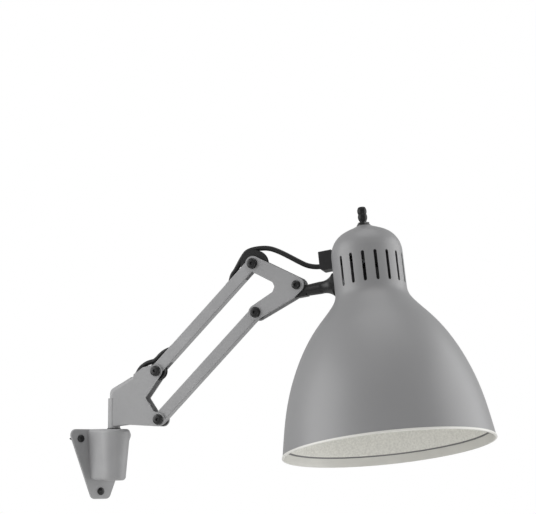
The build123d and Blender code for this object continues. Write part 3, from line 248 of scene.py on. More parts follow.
# Zinc-plated steel of hidden clips, nuts and straps: pale and cool, with a drawn grain.
ZINC = Finish("zinc_plated_steel", "#b9bcc0", "#c6c8cb", 0.33, 0.06, 1.0, 12, 0.5, 0.006, 0.5, (1, 1, 6))
# Brass of the bushes, the bulb sleeve and the contact.
BRASS = Finish("turned_brass", "#c8a25c", "#d2ae6b", 0.28, 0.05, 1.0, 14, 0.4, 0.004, 0.5, (1, 1, 6))
# EPDM rubber of the grommets: dull, faintly bloomed.
RUBBER = Finish("black_rubber_grommet", "#101011", "#1a1a1b", 0.7, 0.05, 0.0, 8, 0.8, 0.015, 0.25)
# PVC sheath of the cable: soft black with a broad sheen and the mark of the strands beneath.
PVC = Finish("black_pvc_sheath", "#0d0d0e", "#151516", 0.46, 0.05, 0.0, 15, 3.0, 0.05, 0.3)
# Silicone sheath of the lampholder's leads.
SILICONE = Finish("brown_silicone", "#6a4326", "#74492a", 0.5, 0.04, 0.0, 6, 0.8, 0.005)


class Slot(Enum):
    """The record's material slots, each with the finish that dresses it."""

    grey_steel = GREY_POWDER
    grey_casting = CAST_POWDER
    shade_grey = SHADE_SATIN
    rim_white = RIM_ENAMEL
    shade_white = WHITE_STIPPLE
    black_steel = BLACK_OXIDE
    black_casting = BLACK_POWDER
    black_plastic = BLACK_NYLON
    black_bush = BLACK_ACETAL
    white_plastic = CERAMIC
    plain_steel = ZINC
    brass = BRASS
    black_rubber = RUBBER
    cable_sheath = PVC
    lead_sheath = SILICONE


# ---- meshes ------------------------------------------------------------------------------------------
def link(name: str, mesh: bpy.types.Mesh) -> bpy.types.Object:
    """Put a mesh in the scene.

    Args:
        name: the new object's name.
        mesh: the mesh that it shows.

    Returns:
        The new object.
    """
    piece = bpy.data.objects.new(name, mesh)
    bpy.context.scene.collection.objects.link(piece)
    return piece


def mesh_of(name: str, form: bmesh.types.BMesh) -> bpy.types.Mesh:
    """Turn a bmesh to a mesh and free it.

    Args:
        name: the mesh's name.
        form: the bmesh, which is gone afterwards.

    Returns:
        The mesh.
    """
    mesh = bpy.data.meshes.new(name)
    form.to_mesh(mesh)
    form.free()
    return mesh


def smooth_by_angle(mesh: bpy.types.Mesh, degrees: float = 32.0) -> None:
    """Merge a mesh's doubles and shade it smooth, with creases at its sharp edges.

    Args:
        mesh: the mesh to change.
        degrees: the angle between two faces past which their edge is a crease.
    """
    form = bmesh.new()
    form.from_mesh(mesh)
    bmesh.ops.remove_doubles(form, verts=form.verts, dist=SKIN_WELD)
    limit = math.radians(degrees)
    for face in form.faces:
        face.smooth = True
    for edge in form.edges:
        edge.smooth = len(edge.link_faces) == 2 and edge.calc_face_angle(math.pi) < limit
    form.to_mesh(mesh)
    form.free()


def settled(piece: bpy.types.Object) -> bpy.types.Object:
    """Bake a piece's modifiers into a plain mesh.

    Args:
        piece: the object whose modifiers are run and removed.

    Returns:
        The same object with its new mesh.
    """
    graph = bpy.context.evaluated_depsgraph_get()
    graph.update()
    baked = bpy.data.meshes.new_from_object(piece.evaluated_get(graph), depsgraph=graph,
                                            preserve_all_data_layers=True)
    piece.modifiers.clear()
    piece.data = baked
    return piece


def even_normals(piece: bpy.types.Object) -> bpy.types.Object:
    """Weight the normals by face area, so that flat faces beside a rounding stay flat.

    Args:
        piece: the object to change.

    Returns:
        The same object.
    """
    weighted = piece.modifiers.new("even", "WEIGHTED_NORMAL")
    weighted.keep_sharp = True
    return settled(piece)


def lathe(name: str, profile: Profile, steps: int, closed: bool = True) -> bpy.types.Mesh:
    """Turn a profile about Z.

    Args:
        name: the mesh's name.
        profile: radius and height in millimetres.
        steps: faces round the axis.
        closed: joins the last point to the first, for a wall.

    Returns:
        The turned mesh, its faces outwards.
    """
    form = bmesh.new()
    rings = []
    for step in range(steps):
        angle = math.tau * step / steps
        side = (math.cos(angle), math.sin(angle))
        rings.append([form.verts.new((r * side[0] * MM, r * side[1] * MM, z * MM))
                      for r, z in profile])
    count = len(profile) if closed else len(profile) - 1
    for step, ring in enumerate(rings):
        other = rings[(step + 1) % steps]
        for index in range(count):
            after = (index + 1) % len(profile)
            form.faces.new((ring[index], other[index], other[after], ring[after]))
    bmesh.ops.remove_doubles(form, verts=form.verts, dist=LATHE_WELD)
    bmesh.ops.recalc_face_normals(form, faces=form.faces)
    return mesh_of(name, form)


def flowing(points: Profile, steps: int) -> Profile:
    """Points on a natural cubic through some points, spaced by chord.

    Args:
        points: the points that the curve passes.
        steps: points on each span.

    Returns:
        The curve's points, the last one included.
    """
    knots = [0.0]
    for a, b in zip(points, points[1:]):
        knots.append(knots[-1] + math.hypot(b[0] - a[0], b[1] - a[1]))
    count = len(points)
    bends = []
    for axis in (0, 1):
        values = [p[axis] for p in points]
        upper, right = [0.0] * count, [0.0] * count
        for i in range(1, count - 1):
            before = knots[i] - knots[i - 1]
            after = knots[i + 1] - knots[i]
            slope = 6 * ((values[i + 1] - values[i]) / after - (values[i] - values[i - 1]) / before)
            pivot = 2 * (before + after) - before * upper[i - 1]
            upper[i] = after / pivot
            right[i] = (slope - before * right[i - 1]) / pivot
        second = [0.0] * count
        for i in range(count - 2, 0, -1):
            second[i] = right[i] - upper[i] * second[i + 1]
        bends.append(second)
    curve = []
    for i in range(count - 1):
        width = knots[i + 1] - knots[i]
        for step in range(steps):
            b = step / steps
            a = 1 - b
            curve.append(tuple(
                a * points[i][k] + b * points[i + 1][k]
                + ((a ** 3 - a) * bends[k][i] + (b ** 3 - b) * bends[k][i + 1]) * width * width / 6
                for k in (0, 1)))
    return curve + [points[-1]]


def walled(line: Profile, wall: float) -> Profile:
    """Close a line to the section of a wall, which lies to the right of its run.

    Args:
        line: points of the wall's outer face.
        wall: thickness in millimetres.

    Returns:
        The outer points, then the inner ones backwards.
    """
    inner = []
    for index, point in enumerate(line):
        before = line[max(index - 1, 0)]
        after = line[min(index + 1, len(line) - 1)]
        run = (after[0] - before[0], after[1] - before[1])
        length = math.hypot(*run)
        inner.append((point[0] + run[1] / length * wall, point[1] - run[0] / length * wall))
    return line + inner[::-1]


# ---- geometry nodes ----------------------------------------------------------------------------------
def new_tree(name: str, sockets: dict[str, str]) -> bpy.types.NodeTree:
    """Start a geometry tree with a geometry input and output and some named inputs.

    Args:
        name: the tree's name.
        sockets: the inputs' names with their socket types.

    Returns:
        The tree, with no nodes in it.
    """
    tree = bpy.data.node_groups.new(name, "GeometryNodeTree")
    tree.interface.new_socket("Geometry", in_out="INPUT", socket_type="NodeSocketGeometry")
    for label, kind in sockets.items():
        tree.interface.new_socket(label, in_out="INPUT", socket_type=kind)
    tree.interface.new_socket("Geometry", in_out="OUTPUT", socket_type="NodeSocketGeometry")
    return tree


def run_tree(piece: bpy.types.Object, tree: bpy.types.NodeTree,
             values: dict[str, object]) -> bpy.types.Object:
    """Run a geometry tree on a piece and bake the result.

    Args:
        piece: the object that the tree starts from.
        tree: the geometry tree.
        values: what its named inputs are set to.

    Returns:
        The same object with its new mesh.
    """
    modifier = piece.modifiers.new(tree.name, "NODES")
    modifier.node_group = tree
    for item in tree.interface.items_tree:
        if item.item_type == "SOCKET" and item.in_out == "INPUT" and item.name in values:
            modifier[item.identifier] = values[item.name]
    return settled(piece)


def copies_tree() -> bpy.types.NodeTree:
    """Make, or find, the tree that sets a copy of an object on every point of a mesh.

    Returns:
        The tree, with inputs Fastener and Finish.
    """
    known = bpy.data.node_groups.get("fasteners_on_points")
    if known is not None:
        return known
    tree = new_tree("fasteners_on_points", {"Fastener": "NodeSocketObject",
                                            "Finish": "NodeSocketMaterial"})
    inputs = add_node(tree, "NodeGroupInput")
    source = add_node(tree, "GeometryNodeObjectInfo", None, {"Object": inputs.outputs["Fastener"]})
    copies = add_node(tree, "GeometryNodeInstanceOnPoints", None,
                      {"Points": inputs.outputs["Geometry"], "Instance": source.outputs["Geometry"]})
    real = add_node(tree, "GeometryNodeRealizeInstances", None, {"Geometry": copies.outputs[0]})
    dressed = add_node(tree, "GeometryNodeSetMaterial", None,
                       {"Geometry": real.outputs[0], "Material": inputs.outputs["Finish"]})
    add_node(tree, "NodeGroupOutput", None, {"Geometry": dressed.outputs[0]})
    return tree


def slots_tree() -> bpy.types.NodeTree:
    """Make the tree that cuts a row of slots round the Z axis, even about +X.

    Returns:
        The tree, with inputs Cutter, Count, Pitch in radians and Finish.
    """
    tree = new_tree("vent_slots", {"Cutter": "NodeSocketObject", "Count": "NodeSocketInt",
                                   "Pitch": "NodeSocketFloat", "Finish": "NodeSocketMaterial"})
    inputs = add_node(tree, "NodeGroupInput")
    source = add_node(tree, "GeometryNodeObjectInfo", None, {"Object": inputs.outputs["Cutter"]})
    points = add_node(tree, "GeometryNodeMeshLine", {"Offset": (0, 0, 0)},
                      {"Count": inputs.outputs["Count"]})
    index = add_node(tree, "GeometryNodeInputIndex")
    last = add_node(tree, "ShaderNodeMath", {"operation": "SUBTRACT", 1: 1.0},
                    {0: inputs.outputs["Count"]})
    half = add_node(tree, "ShaderNodeMath", {"operation": "MULTIPLY", 1: 0.5},
                    {0: last.outputs[0]})
    from_middle = add_node(tree, "ShaderNodeMath", {"operation": "SUBTRACT"},
                           {0: index.outputs[0], 1: half.outputs[0]})
    angle = add_node(tree, "ShaderNodeMath", {"operation": "MULTIPLY"},
                     {0: from_middle.outputs[0], 1: inputs.outputs["Pitch"]})
    about_z = add_node(tree, "ShaderNodeCombineXYZ", None, {"Z": angle.outputs[0]})
    cutters = add_node(tree, "GeometryNodeInstanceOnPoints", None,
                       {"Points": points.outputs[0], "Instance": source.outputs["Geometry"],
                        "Rotation": about_z.outputs[0]})
    real = add_node(tree, "GeometryNodeRealizeInstances", None, {"Geometry": cutters.outputs[0]})
    cut = add_node(tree, "GeometryNodeMeshBoolean", {"operation": "DIFFERENCE"},
                   {"Mesh 1": inputs.outputs["Geometry"], "Mesh 2": real.outputs[0]})
    dressed = add_node(tree, "GeometryNodeSetMaterial", None,
                       {"Geometry": cut.outputs[0], "Material": inputs.outputs["Finish"]})
    add_node(tree, "NodeGroupOutput", None, {"Geometry": dressed.outputs[0]})
    return tree


# ---- sub-assemblies ----------------------------------------------------------------------------------
@dataclass
class SubAssembly:
    """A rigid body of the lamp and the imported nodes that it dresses."""

    body: Body
    frame: dict
    crease: float = 32.0

    def slot_of(self, node: str) -> Slot:
        """Look up the material slot that the record gives a node.

        Args:
            node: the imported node's name.

        Returns:
            Its slot.
        """
        for row in self.frame["record"]["subparts"]:
            if row["node"] == node:
                return Slot[row["material_slot"]]
        raise KeyError(node)

    def finish(self, piece: bpy.types.Object, slot: Slot, *nodes: str) -> bpy.types.Object:
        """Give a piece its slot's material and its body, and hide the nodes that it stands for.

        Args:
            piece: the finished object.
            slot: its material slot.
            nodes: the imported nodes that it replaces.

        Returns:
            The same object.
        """
        piece.data.materials.clear()
        piece.data.materials.append(slot.value.material())
        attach(piece, self.body.value)
        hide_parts(*nodes)
        LOG.info("%s: %s", self.body.value, piece.name)
        return piece

    def dress(self, *skip: str) -> None:
        """Make a merged, smoothly shaded copy of each node of the body.

        Args:
            skip: nodes that another piece stands for.
        """
        for node in self.frame["record"]["behaviour"]["bodies"][self.body.value]:
            if node in skip:
                continue
            slot = self.slot_of(node)
            mesh = self.frame["nodes"][node].data.copy()
            mesh.name = node + "_skin"
            smooth_by_angle(mesh, self.crease)
            self.finish(even_normals(link(node + "_skin", mesh)), slot, node)

    def fasteners(self, name: str, proto: bpy.types.Mesh, places: list[Vector], slot: Slot,
                  node: str) -> None:
        """Set copies of a fastener on some places.

        Args:
            name: the new piece's name.
            proto: one fastener, turned as it stands in the row frame, its seat at the origin.
            places: where each one's seat goes.
            slot: its material slot.
            node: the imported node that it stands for.
        """
        base = link(name + "_base", proto)
        spots = bpy.data.meshes.new(name)
        spots.from_pydata([tuple(p) for p in places], [], [])
        piece = run_tree(link(name, spots), copies_tree(),
                         {"Fastener": base, "Finish": slot.value.material()})
        bpy.data.objects.remove(base)
        self.finish(piece, slot, node)


def carve(mesh: bpy.types.Mesh, cutter: bpy.types.Mesh) -> bpy.types.Mesh:
    """Cut one closed mesh out of another.

    Args:
        mesh: the mesh that is cut.
        cutter: the mesh that is taken away.

    Returns:
        What is left.
    """
    whole = link("carved", mesh)
    tool = link("cutter", cutter)
    cut = whole.modifiers.new("cut", "BOOLEAN")
    cut.object = tool
    cut.solver = "EXACT"
    result = settled(whole).data
    bpy.data.objects.remove(whole)
    bpy.data.objects.remove(tool)
    return result


def prism(name: str, corners: Profile, low: float, high: float) -> bpy.types.Mesh:
    """Raise an upright prism on a ring of corners.

    Args:
        name: the mesh's name.
        corners: the ring in X and Y, in millimetres.
        low: height of its foot.
        high: height of its top.

    Returns:
        The closed prism.
    """
    form = bmesh.new()
    foot = [form.verts.new((x * MM, y * MM, low * MM)) for x, y in corners]
    top = [form.verts.new((x * MM, y * MM, high * MM)) for x, y in corners]
    form.faces.new(foot[::-1])
    form.faces.new(top)
    for index, corner in enumerate(foot):
        after = (index + 1) % len(foot)
        form.faces.new((corner, foot[after], top[after], top[index]))
    bmesh.ops.recalc_face_normals(form, faces=form.faces)
    return mesh_of(name, form)


def regular(count: int, radius: float, first: float = 0.0) -> Profile:
    """Corners of a regular polygon."""
    angles = [first + math.tau * i / count for i in range(count)]
    return [(radius * math.cos(a), radius * math.sin(a)) for a in angles]


def joined(name: str, *parts: bpy.types.Mesh) -> bpy.types.Mesh:
    """Put several meshes in one.

    Args:
        name: the new mesh's name.
        parts: the meshes, each where it belongs.

    Returns:
        The new mesh.
    """
    form = bmesh.new()
    for part in parts:
        form.from_mesh(part)
    return mesh_of(name, form)


def threaded(name: str, radius: float, depth: float, pitch: float, low: float, high: float,
             tip: float = 0.0) -> bpy.types.Mesh:
    """A shank along Z with a helical thread.

    Args:
        name: the mesh's name.
        radius: crest radius in millimetres.
        depth: thread depth.
        pitch: advance in one turn.
        low: lower end of the shank, which tapers over the tip.
        high: upper end.
        tip: length of the taper at the lower end.

    Returns:
        The closed shank.
    """
    around, rows_a_turn, flank = 20, 6, 3.2
    form = bmesh.new()
    rows = int((high - low) / pitch * rows_a_turn)
    grid = []
    for row in range(rows + 1):
        z = low + (high - low) * row / rows
        slim = min(1.0, max((z - low) / tip, 0.05)) if tip else 1.0
        ring = []
        for step in range(around):
            wave = (z / pitch - step / around) % 1.0
            crest = max(0.0, 1 - abs(wave - 0.5) * flank)
            r = (radius - depth + depth * crest) * slim
            angle = math.tau * step / around
            ring.append(form.verts.new((r * math.cos(angle) * MM, r * math.sin(angle) * MM, z * MM)))
        grid.append(ring)
    form.faces.new(grid[0][::-1])
    form.faces.new(grid[-1])
    for lower, upper in zip(grid, grid[1:]):
        for step in range(around):
            after = (step + 1) % around
            form.faces.new((lower[step], lower[after], upper[after], upper[step]))
    bmesh.ops.recalc_face_normals(form, faces=form.faces)
    return mesh_of(name, form)


@dataclass
class WallBracket(SubAssembly):
    """Wall plate, its screws and the swivel socket."""

    screw_places: tuple[tuple[float, float], ...] = ((-33.0, 35.0), (33.0, 35.0), (0.0, -37.5))
    plate: float = 3.0
    head_r: float = 5.3
    head_h: float = 3.0
    head_edge: float = 0.5
    dome_steps: int = 8
    dome_fullness: float = 0.8
    cross_half: float = 0.55
    cross_reach: float = 2.6
    cross_depth: float = 1.3
    shank_r: float = 2.2
    shank_l: float = 32.0
    thread_depth: float = 0.5
    thread_pitch: float = 1.8
    tip_l: float = 6.0

    def screw(self) -> bpy.types.Mesh:
        """Make a dome-headed wood screw with a cross recess.

        Returns:
            The screw, pointing along +Y, its seat at the origin.
        """
        dome = [(0.0, self.head_h)]
        for step in range(1, self.dome_steps + 1):
            angle = math.pi / 2 * step / self.dome_steps
            dome.append((self.head_r * math.sin(angle) ** self.dome_fullness,
                         self.head_edge + (self.head_h - self.head_edge) * math.cos(angle)))
        head = lathe("head", dome + [(self.head_r, 0.0), (0.0, 0.0)], 40, closed=False)
        for x, y in ((self.cross_half, self.cross_reach), (self.cross_reach, self.cross_half)):
            arm = prism("recess", [(-x, -y), (x, -y), (x, y), (-x, y)],
                        self.head_h - self.cross_depth, self.head_h + 1)
            head = carve(head, arm)
        shank = threaded("shank", self.shank_r, self.thread_depth, self.thread_pitch,
                         -self.shank_l, -0.01, self.tip_l)
        screw = joined("wall_screw", head, shank)
        screw.transform(turn(90, "X"))
        smooth_by_angle(screw, 40)
        return screw

    def build(self) -> None:
        """Make the bracket's pieces."""
        places = [Vector((x * MM, -self.plate * MM, z * MM)) for x, z in self.screw_places]
        self.fasteners("wall_screw_set", self.screw(), places, Slot.black_steel, "wall_screws")
        self.dress("wall_screws", "cable_bracket")


@dataclass
class PivotBolts:
    """Button-head bolts that cross the arm, with a hexagon recess and a threaded tip."""

    head_r: float = 7.2
    head_h: float = 4.2
    round_r: float = 2.9
    round_steps: int = 12
    key_flats: float = 4.0
    key_depth: float = 2.2
    grip: float = 9.0
    shank_r: float = 3.0
    thread_depth: float = 0.35
    thread_pitch: float = 1.0
    end: float = 16.0

    def bolt(self) -> bpy.types.Mesh:
        """Make one bolt.

        Returns:
            The bolt, its head towards the arm's near side, its middle at the origin.
        """
        top = self.grip + self.head_h
        foot = -self.grip + 1
        dome = [(0.0, top)]
        for step in range(1, self.round_steps + 1):
            angle = math.pi / 2 * step / self.round_steps
            dome.append((self.head_r - self.round_r + self.round_r * math.sin(angle),
                         top - self.round_r + self.round_r * math.cos(angle)))
        head = lathe("head", dome + [(self.head_r, self.grip), (0.0, self.grip)], 56, closed=False)
        key = prism("recess", regular(6, self.key_flats / math.sqrt(3)), top - self.key_depth, top + 1)
        head = carve(head, key)
        side = [(0.0, self.grip), (self.shank_r, self.grip), (self.shank_r, foot), (0.0, foot)]
        shank = lathe("shank", side, 32, closed=False)
        tip = threaded("tip", self.shank_r, self.thread_depth, self.thread_pitch, -self.end, foot)
        bolt = joined("pivot_bolt", head, shank, tip)
        bolt.transform(turn(90, "X"))
        bolt.transform(turn(ARM_HEADING, "Z"))
        smooth_by_angle(bolt, 35)
        return bolt


def in_arm(at: tuple[float, float]) -> Vector:
    """A point of the arm's plane in the row frame."""
    return ARM @ Vector((at[0] * MM, 0, at[1] * MM))


@dataclass
class Turret(SubAssembly):
    """Swivelling post and the base fork with its two pivots."""

    bolts: PivotBolts = field(default_factory=PivotBolts)

    def build(self) -> None:
        """Make the turret's pieces."""
        low = (BASE_PIVOT[0] + LOWER_STEP[0], BASE_PIVOT[1] + LOWER_STEP[1])
        places = [in_arm(BASE_PIVOT), in_arm(low)]
        self.fasteners("base_bolt_set", self.bolts.bolt(), places, Slot.black_steel,
                       "base_pivot_bolts")
        self.dress("base_pivot_bolts", "cable_fork")


@dataclass
class Bar(SubAssembly):
    """One bar of the parallelogram with its bushes, and the cable's guides on the upper one."""

    def build(self) -> None:
        """Make the bar's pieces."""
        self.dress("cable_bar")


@dataclass
class Elbow(SubAssembly):
    """Elbow plates with their pivots and the cable saddle."""

    bolts: PivotBolts = field(default_factory=PivotBolts)
    head_bolt: PivotBolts = field(default_factory=lambda: PivotBolts(head_r=6.0))

    def build(self) -> None:
        """Make the elbow's pieces."""
        low = (ELBOW_PIVOT[0] + LOWER_STEP[0], ELBOW_PIVOT[1] + LOWER_STEP[1])
        places = [in_arm(ELBOW_PIVOT), in_arm(low)]
        self.fasteners("elbow_bolt_set", self.bolts.bolt(), places, Slot.black_steel,
                       "elbow_pivot_bolts")
        self.fasteners("head_pivot_bolt_set", self.head_bolt.bolt(), [in_arm(HEAD_PIVOT)],
                       Slot.black_steel, "head_pivot_bolt")
        self.dress("elbow_pivot_bolts", "head_pivot_bolt", "cable_elbow")


@dataclass
class Neck(SubAssembly):
    """Knuckle between the elbow plates and the neck bolt."""

    def build(self) -> None:
        """Make the neck's pieces."""
        self.dress("cable_neck")


@dataclass
class Head(SubAssembly):
    """Bell shade with its rim, reflector, lampholder, switch and strain relief."""

    wall: float = 1.0
    cap_r: float = 46.9
    cap_top: float = 71.2
    hole_r: float = 5.2
    dome: tuple[tuple[float, float], ...] = (
        (9.5, 71.2), (17.4, 67.3), (26.7, 63.0), (34.4, 58.4), (39.5, 53.4), (42.9, 48.2),
        (45.3, 42.6), (46.9, 34.0))
    dome_steps: int = 5
    cap_row: float = 12.0
    bell: tuple[tuple[float, float], ...] = (
        (46.9, -14.0), (47.05, -18.0), (48.0, -24.0), (56.8, -39.1), (76.9, -62.6), (104.3, -106.7),
        (125.3, -165.5), (134.22, -213.0))
    bell_steps: int = 8
    mouth: tuple[float, float] = (136.0, -224.5)
    around: int = 180
    slot_count: int = 13
    slot_pitch: float = 20.0
    slot_w: float = 4.2
    slot_l: float = 40.3
    slot_z: float = 5.9
    slot_end_steps: int = 8
    slot_bite: float = 6.0

    def profile(self) -> Profile:
        """Draw the half section of the shade's outside.

        Returns:
            Its points, from the switch hole to the mouth.
        """
        line = [(self.hole_r, self.cap_top), *flowing(list(self.dome), self.dome_steps)]
        line += [(self.cap_r, self.dome[-1][1] - self.cap_row * step) for step in (1, 2, 3)]
        line += flowing(list(self.bell), self.bell_steps)
        line += [self.mouth]
        return line

    def slot_cutter(self) -> bpy.types.Mesh:
        """Make the cutter of one round-ended slot.

        Returns:
            The cutter, standing on the +X side and reaching through the wall.
        """
        half = self.slot_w / 2
        straight = self.slot_l / 2 - half
        corners = []
        for end, first in ((1, 0.0), (-1, math.pi)):
            for step in range(self.slot_end_steps + 1):
                angle = first + math.pi * step / self.slot_end_steps
                corners.append((half * math.cos(angle), end * straight + half * math.sin(angle)))
        cutter = prism("slot", corners, self.cap_r - self.slot_bite, self.cap_r + self.slot_bite)
        cutter.transform(shift(0, 0, self.slot_z) @ turn(90, "X") @ turn(90, "Y"))
        return cutter

    def shade(self) -> None:
        """Make the spun shade, its slots cut by the geometry tree."""
        section = walled(self.profile(), self.wall)
        blank = link("shade_spun", lathe("shade_spun", section, self.around))
        cutter = link("slot_cutter", self.slot_cutter())
        piece = run_tree(blank, slots_tree(), {"Cutter": cutter, "Count": self.slot_count,
                                               "Pitch": math.radians(self.slot_pitch),
                                               "Finish": SHADE_SATIN.material()})
        bpy.data.objects.remove(cutter)
        piece.data.transform(HEAD)
        smooth_by_angle(piece.data, 30)
        self.finish(even_normals(piece), Slot.shade_grey, "shade_shell")

    def build(self) -> None:
        """Make the head's pieces."""
        self.shade()
        self.dress("shade_shell", "cable_head")


@dataclass
class SwitchKnob(SubAssembly):
    """Bobbin knob and its stem on top of the shade."""

    def build(self) -> None:
        """Make the knob's pieces."""
        self.dress()


# ---- cable -------------------------------------------------------------------------------------------
@dataclass
class CableStretch:
    """One stretch of the cable: the control points of its line, its own body, and the body that it
    starts from.

    A stretch that starts on another body, bends_from, is left in the row frame on no body and is not
    bent. still_to, the point up to which it would follow bends_from, is not used.
    """

    name: str
    node: str
    points: list[Vector]
    body: Body
    bends_from: Body | None = None
    still_to: Vector | None = None
    radius: float = 3.4

    def curve(self, bevel: float) -> bpy.types.Object:
        """Lay the stretch as a smooth curve.

        Args:
            bevel: radius of its round section in millimetres.

        Returns:
            The curve's object.
        """
        data = bpy.data.curves.new(self.name, "CURVE")
        data.dimensions = "3D"
        data.resolution_u = 10
        data.bevel_depth = bevel * MM
        data.bevel_resolution = 6
        data.use_fill_caps = True
        spline = data.splines.new("NURBS")
        spline.points.add(len(self.points) - 1)
        for control, point in zip(spline.points, self.points):
            control.co = (*point, 1.0)
        spline.order_u = 3
        spline.use_endpoint_u = True
        piece = bpy.data.objects.new(self.name, data)
        bpy.context.scene.collection.objects.link(piece)
        return piece

    def meshed(self, bevel: float) -> bpy.types.Mesh:
        """Make the curve a plain mesh.

        Args:
            bevel: radius of its round section in millimetres, where 0 gives the bare line.

        Returns:
            The mesh.
        """
        piece = self.curve(bevel)
        graph = bpy.context.evaluated_depsgraph_get()
        graph.update()
        mesh = bpy.data.meshes.new_from_object(piece.evaluated_get(graph))
        bpy.data.objects.remove(piece)
        return mesh

    def build(self) -> None:
        """Make the stretch as a tube, on its own body where it starts on no other body, else left in the
        row frame.
        """
        path = [vertex.co.copy() for vertex in self.meshed(0.0).vertices]
        tube = self.meshed(self.radius)
        smooth_by_angle(tube, 50)
        piece = link(self.name, tube)
        piece.data.materials.clear()
        piece.data.materials.append(PVC.material())
        if self.bends_from is None:
            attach(piece, self.body.value)
        else:
            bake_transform(piece)
        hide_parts(self.node)
        length = sum((b - a).length for a, b in zip(path, path[1:]))
        LOG.info("cable: %s, %.1f mm", self.name, length / MM)


def cable_stretches() -> list[CableStretch]:
    """Lay out the six stretches of the cable, each starting where the one before it ends.

    Returns:
        The stretches, from the wall to the switch.
    """

    def row(frame: Matrix, points: list[Point]) -> list[Vector]:
        """Points of a frame, in millimetres, as places in the row frame."""
        return [frame @ (Vector(p) * MM) for p in points]

    wall = row(Matrix.Identity(4), [(0, 0, -9), (0, -21.4, -9), (0, -30.6, -3.6), (0, -36, 5.6),
                                    (0, -36, 16.5)])
    fork = row(ARM, [(0, 0, 16.5), (0, 0, 54), (0, 0, 91.5), (8, 0, 101.6), (20, 0, 107.4),
                     (31, 0, 114.7), (38.5, 0, 130.3), (47.5, 0, 136.6), (55, 0, 139.2)])
    past_post = fork[4]
    fork += row(BAR, [(6.5, 0, 13.13), (14.7, 0, 13.2)])
    bar = row(BAR, [(14.7, 0, 13.2), (26.4, 0, 13.3), (43.1, 0, 1.6), (70, 0, 0.9), (98, 0, 1.7),
                    (125, 0, 0.9), (149.9, 0, 1.6), (166.6, 0, 13.3), (174.5, 0, 13.8),
                    (181, 0, 15.6)])
    elbow = row(BAR, [(181, 0, 15.6), (198.925, 0, 20.564)])
    elbow += row(ARM, [(199.57, 0, 286.43), (211.5, 0, 288.9), (229, 0, 288.8),
                       (245.5, 0, 282.2)])
    neck_first = ARM @ (Vector((262, 0, 273.4)) * MM)
    neck_start = (elbow[-1] + neck_first) / 2
    elbow.append(neck_start)
    neck = [neck_start, neck_first] + row(ARM, [(272.5, 0.5, 267.6), (283.5, 1.9, 262.2)])
    head = row(HEAD, [(-67.6, 0, 28.2), (-45, 0, 28.2), (-20, 0, 28.2), (-8.3, 0, 45)])
    head_start = (neck[-1] + head[0]) / 2
    neck.append(head_start)
    head.insert(0, head_start)
    return [CableStretch("cable_in_bracket", "cable_bracket", wall, Body.WALL),
            CableStretch("cable_through_fork", "cable_fork", fork, Body.UPPER_ARM, Body.TURRET,
                         past_post),
            CableStretch("cable_in_bar", "cable_bar", bar, Body.UPPER_ARM),
            CableStretch("cable_over_elbow", "cable_elbow", elbow, Body.ELBOW, Body.UPPER_ARM),
            CableStretch("cable_over_neck", "cable_neck", neck, Body.NECK, Body.ELBOW),
            CableStretch("cable_to_switch", "cable_head", head, Body.HEAD, Body.NECK)]


# ---- studio ------------------------------------------------------------------------------------------
@dataclass(frozen=True)
class Softbox:
    """A square soft light: where it stands and how wide and strong it is, in metres and watts."""

    name: str
    place: Point
    size: float
    power: float


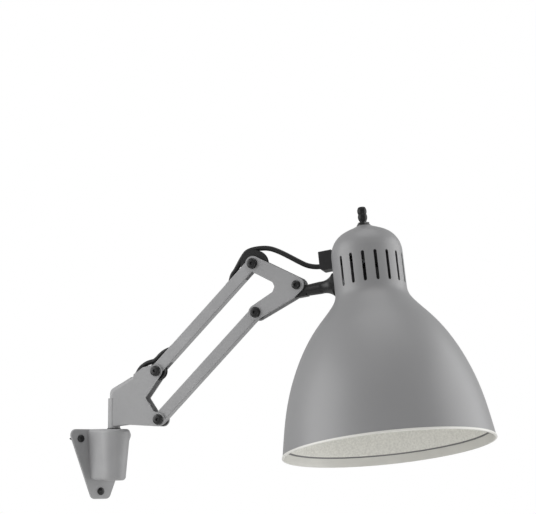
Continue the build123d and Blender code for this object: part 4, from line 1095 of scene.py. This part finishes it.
@dataclass
class Studio:
    """White world, pale floor, soft lights and the camera, in metres."""

    eye: Point = (-1.1178, -1.8716, 0.0240)
    target: Point = (0.16549, -0.16865, 0.28585)
    lens: float = 103.70
    sensor: float = 36
    floor_z: float = -0.75
    floor_half: float = 3.0
    floor_tone: str = "#f2f2f1"
    floor_rough: float = 0.9
    world_level: float = 0.42
    softboxes: tuple[Softbox, ...] = (Softbox("right_softbox", (1.75, -1.3, 0.6), 2.2, 37),
                                      Softbox("left_softbox", (-1.25, 0.45, 0.6), 1.5, 20),
                                      Softbox("top_softbox", (0.1, -0.4, 2.1), 1.4, 11),
                                      Softbox("front_fill", (-0.9, -1.75, -0.25), 0.9, 4))

    def pale(self, tree: bpy.types.NodeTree, lit: bpy.types.NodeSocket,
             bright: bpy.types.NodeSocket) -> bpy.types.NodeSocket:
        """Mix two shaders by what looks at them.

        Args:
            tree: the node tree that takes the nodes.
            lit: the shader that lights the lamp.
            bright: the shader that the camera sees, straight or through glass.

        Returns:
            The mixed shader.
        """
        path = add_node(tree, "ShaderNodeLightPath")
        seen = add_node(tree, "ShaderNodeMath", {"operation": "MAXIMUM"},
                        {0: path.outputs["Is Camera Ray"], 1: path.outputs["Is Transmission Ray"]})
        mixed = add_node(tree, "ShaderNodeMixShader", None, {0: seen.outputs[0], 1: lit, 2: bright})
        return mixed.outputs[0]

    def world(self) -> None:
        """Make an even white world that the camera sees as pure white."""
        world = bpy.data.worlds.new("white_tent")
        world.use_nodes = True
        tree = world.node_tree
        tree.nodes.clear()
        soft = add_node(tree, "ShaderNodeBackground",
                        {"Color": (1, 1, 1, 1), "Strength": self.world_level})
        white = add_node(tree, "ShaderNodeBackground",
                         {"Color": (1, 1, 1, 1), "Strength": 1.0})
        surface = self.pale(tree, soft.outputs[0], white.outputs[0])
        add_node(tree, "ShaderNodeOutputWorld", None, {"Surface": surface})
        bpy.context.scene.world = world

    def floor(self) -> None:
        """Lay a pale floor far below the lamp."""
        form = bmesh.new()
        bmesh.ops.create_grid(form, x_segments=1, y_segments=1, size=self.floor_half)
        floor = link("floor", mesh_of("floor", form))
        floor.location.z = self.floor_z
        material = bpy.data.materials.new("pale_floor")
        material.use_nodes = True
        shader = material.node_tree.nodes["Principled BSDF"]
        shader.inputs["Base Color"].default_value = linear(self.floor_tone)
        shader.inputs["Roughness"].default_value = self.floor_rough
        floor.data.materials.append(material)

    def aimed(self, name: str, data: bpy.types.ID, place: Point) -> bpy.types.Object:
        """Stand a light or a camera in the scene, looking at the target.

        Args:
            name: the new object's name.
            data: the light or the camera.
            place: where it stands.

        Returns:
            The new object.
        """
        made = bpy.data.objects.new(name, data)
        made.location = place
        away = Vector(place) - Vector(self.target)
        made.rotation_euler = away.to_track_quat("Z", "Y").to_euler()
        bpy.context.scene.collection.objects.link(made)
        return made

    def lights(self) -> None:
        """Set up the soft lights."""
        for box in self.softboxes:
            data = bpy.data.lights.new(box.name, "AREA")
            data.size = box.size
            data.energy = box.power
            self.aimed(box.name, data, box.place)

    def camera(self) -> None:
        """Set up the camera at the photograph's viewing angle."""
        data = bpy.data.cameras.new("camera")
        data.lens = self.lens
        data.sensor_width = self.sensor
        bpy.context.scene.camera = self.aimed("camera", data, self.eye)

    def build(self) -> None:
        """Set up the studio."""
        self.world()
        self.floor()
        self.lights()
        self.camera()


def main() -> None:
    """Build the lamp's looks in order and report each piece."""
    logging.basicConfig(level=logging.INFO, format="%(message)s")
    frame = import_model()
    bpy.context.scene.view_settings.view_transform = "Standard"
    Studio().build()
    for stretch in cable_stretches():
        stretch.build()
    WallBracket(Body.WALL, frame).build()
    Turret(Body.TURRET, frame).build()
    Bar(Body.UPPER_ARM, frame).build()
    Bar(Body.LOWER_ARM, frame).build()
    Elbow(Body.ELBOW, frame).build()
    Neck(Body.NECK, frame).build()
    Head(Body.HEAD, frame).build()
    SwitchKnob(Body.KNOB, frame).build()


if __name__ == "__main__":
    main()
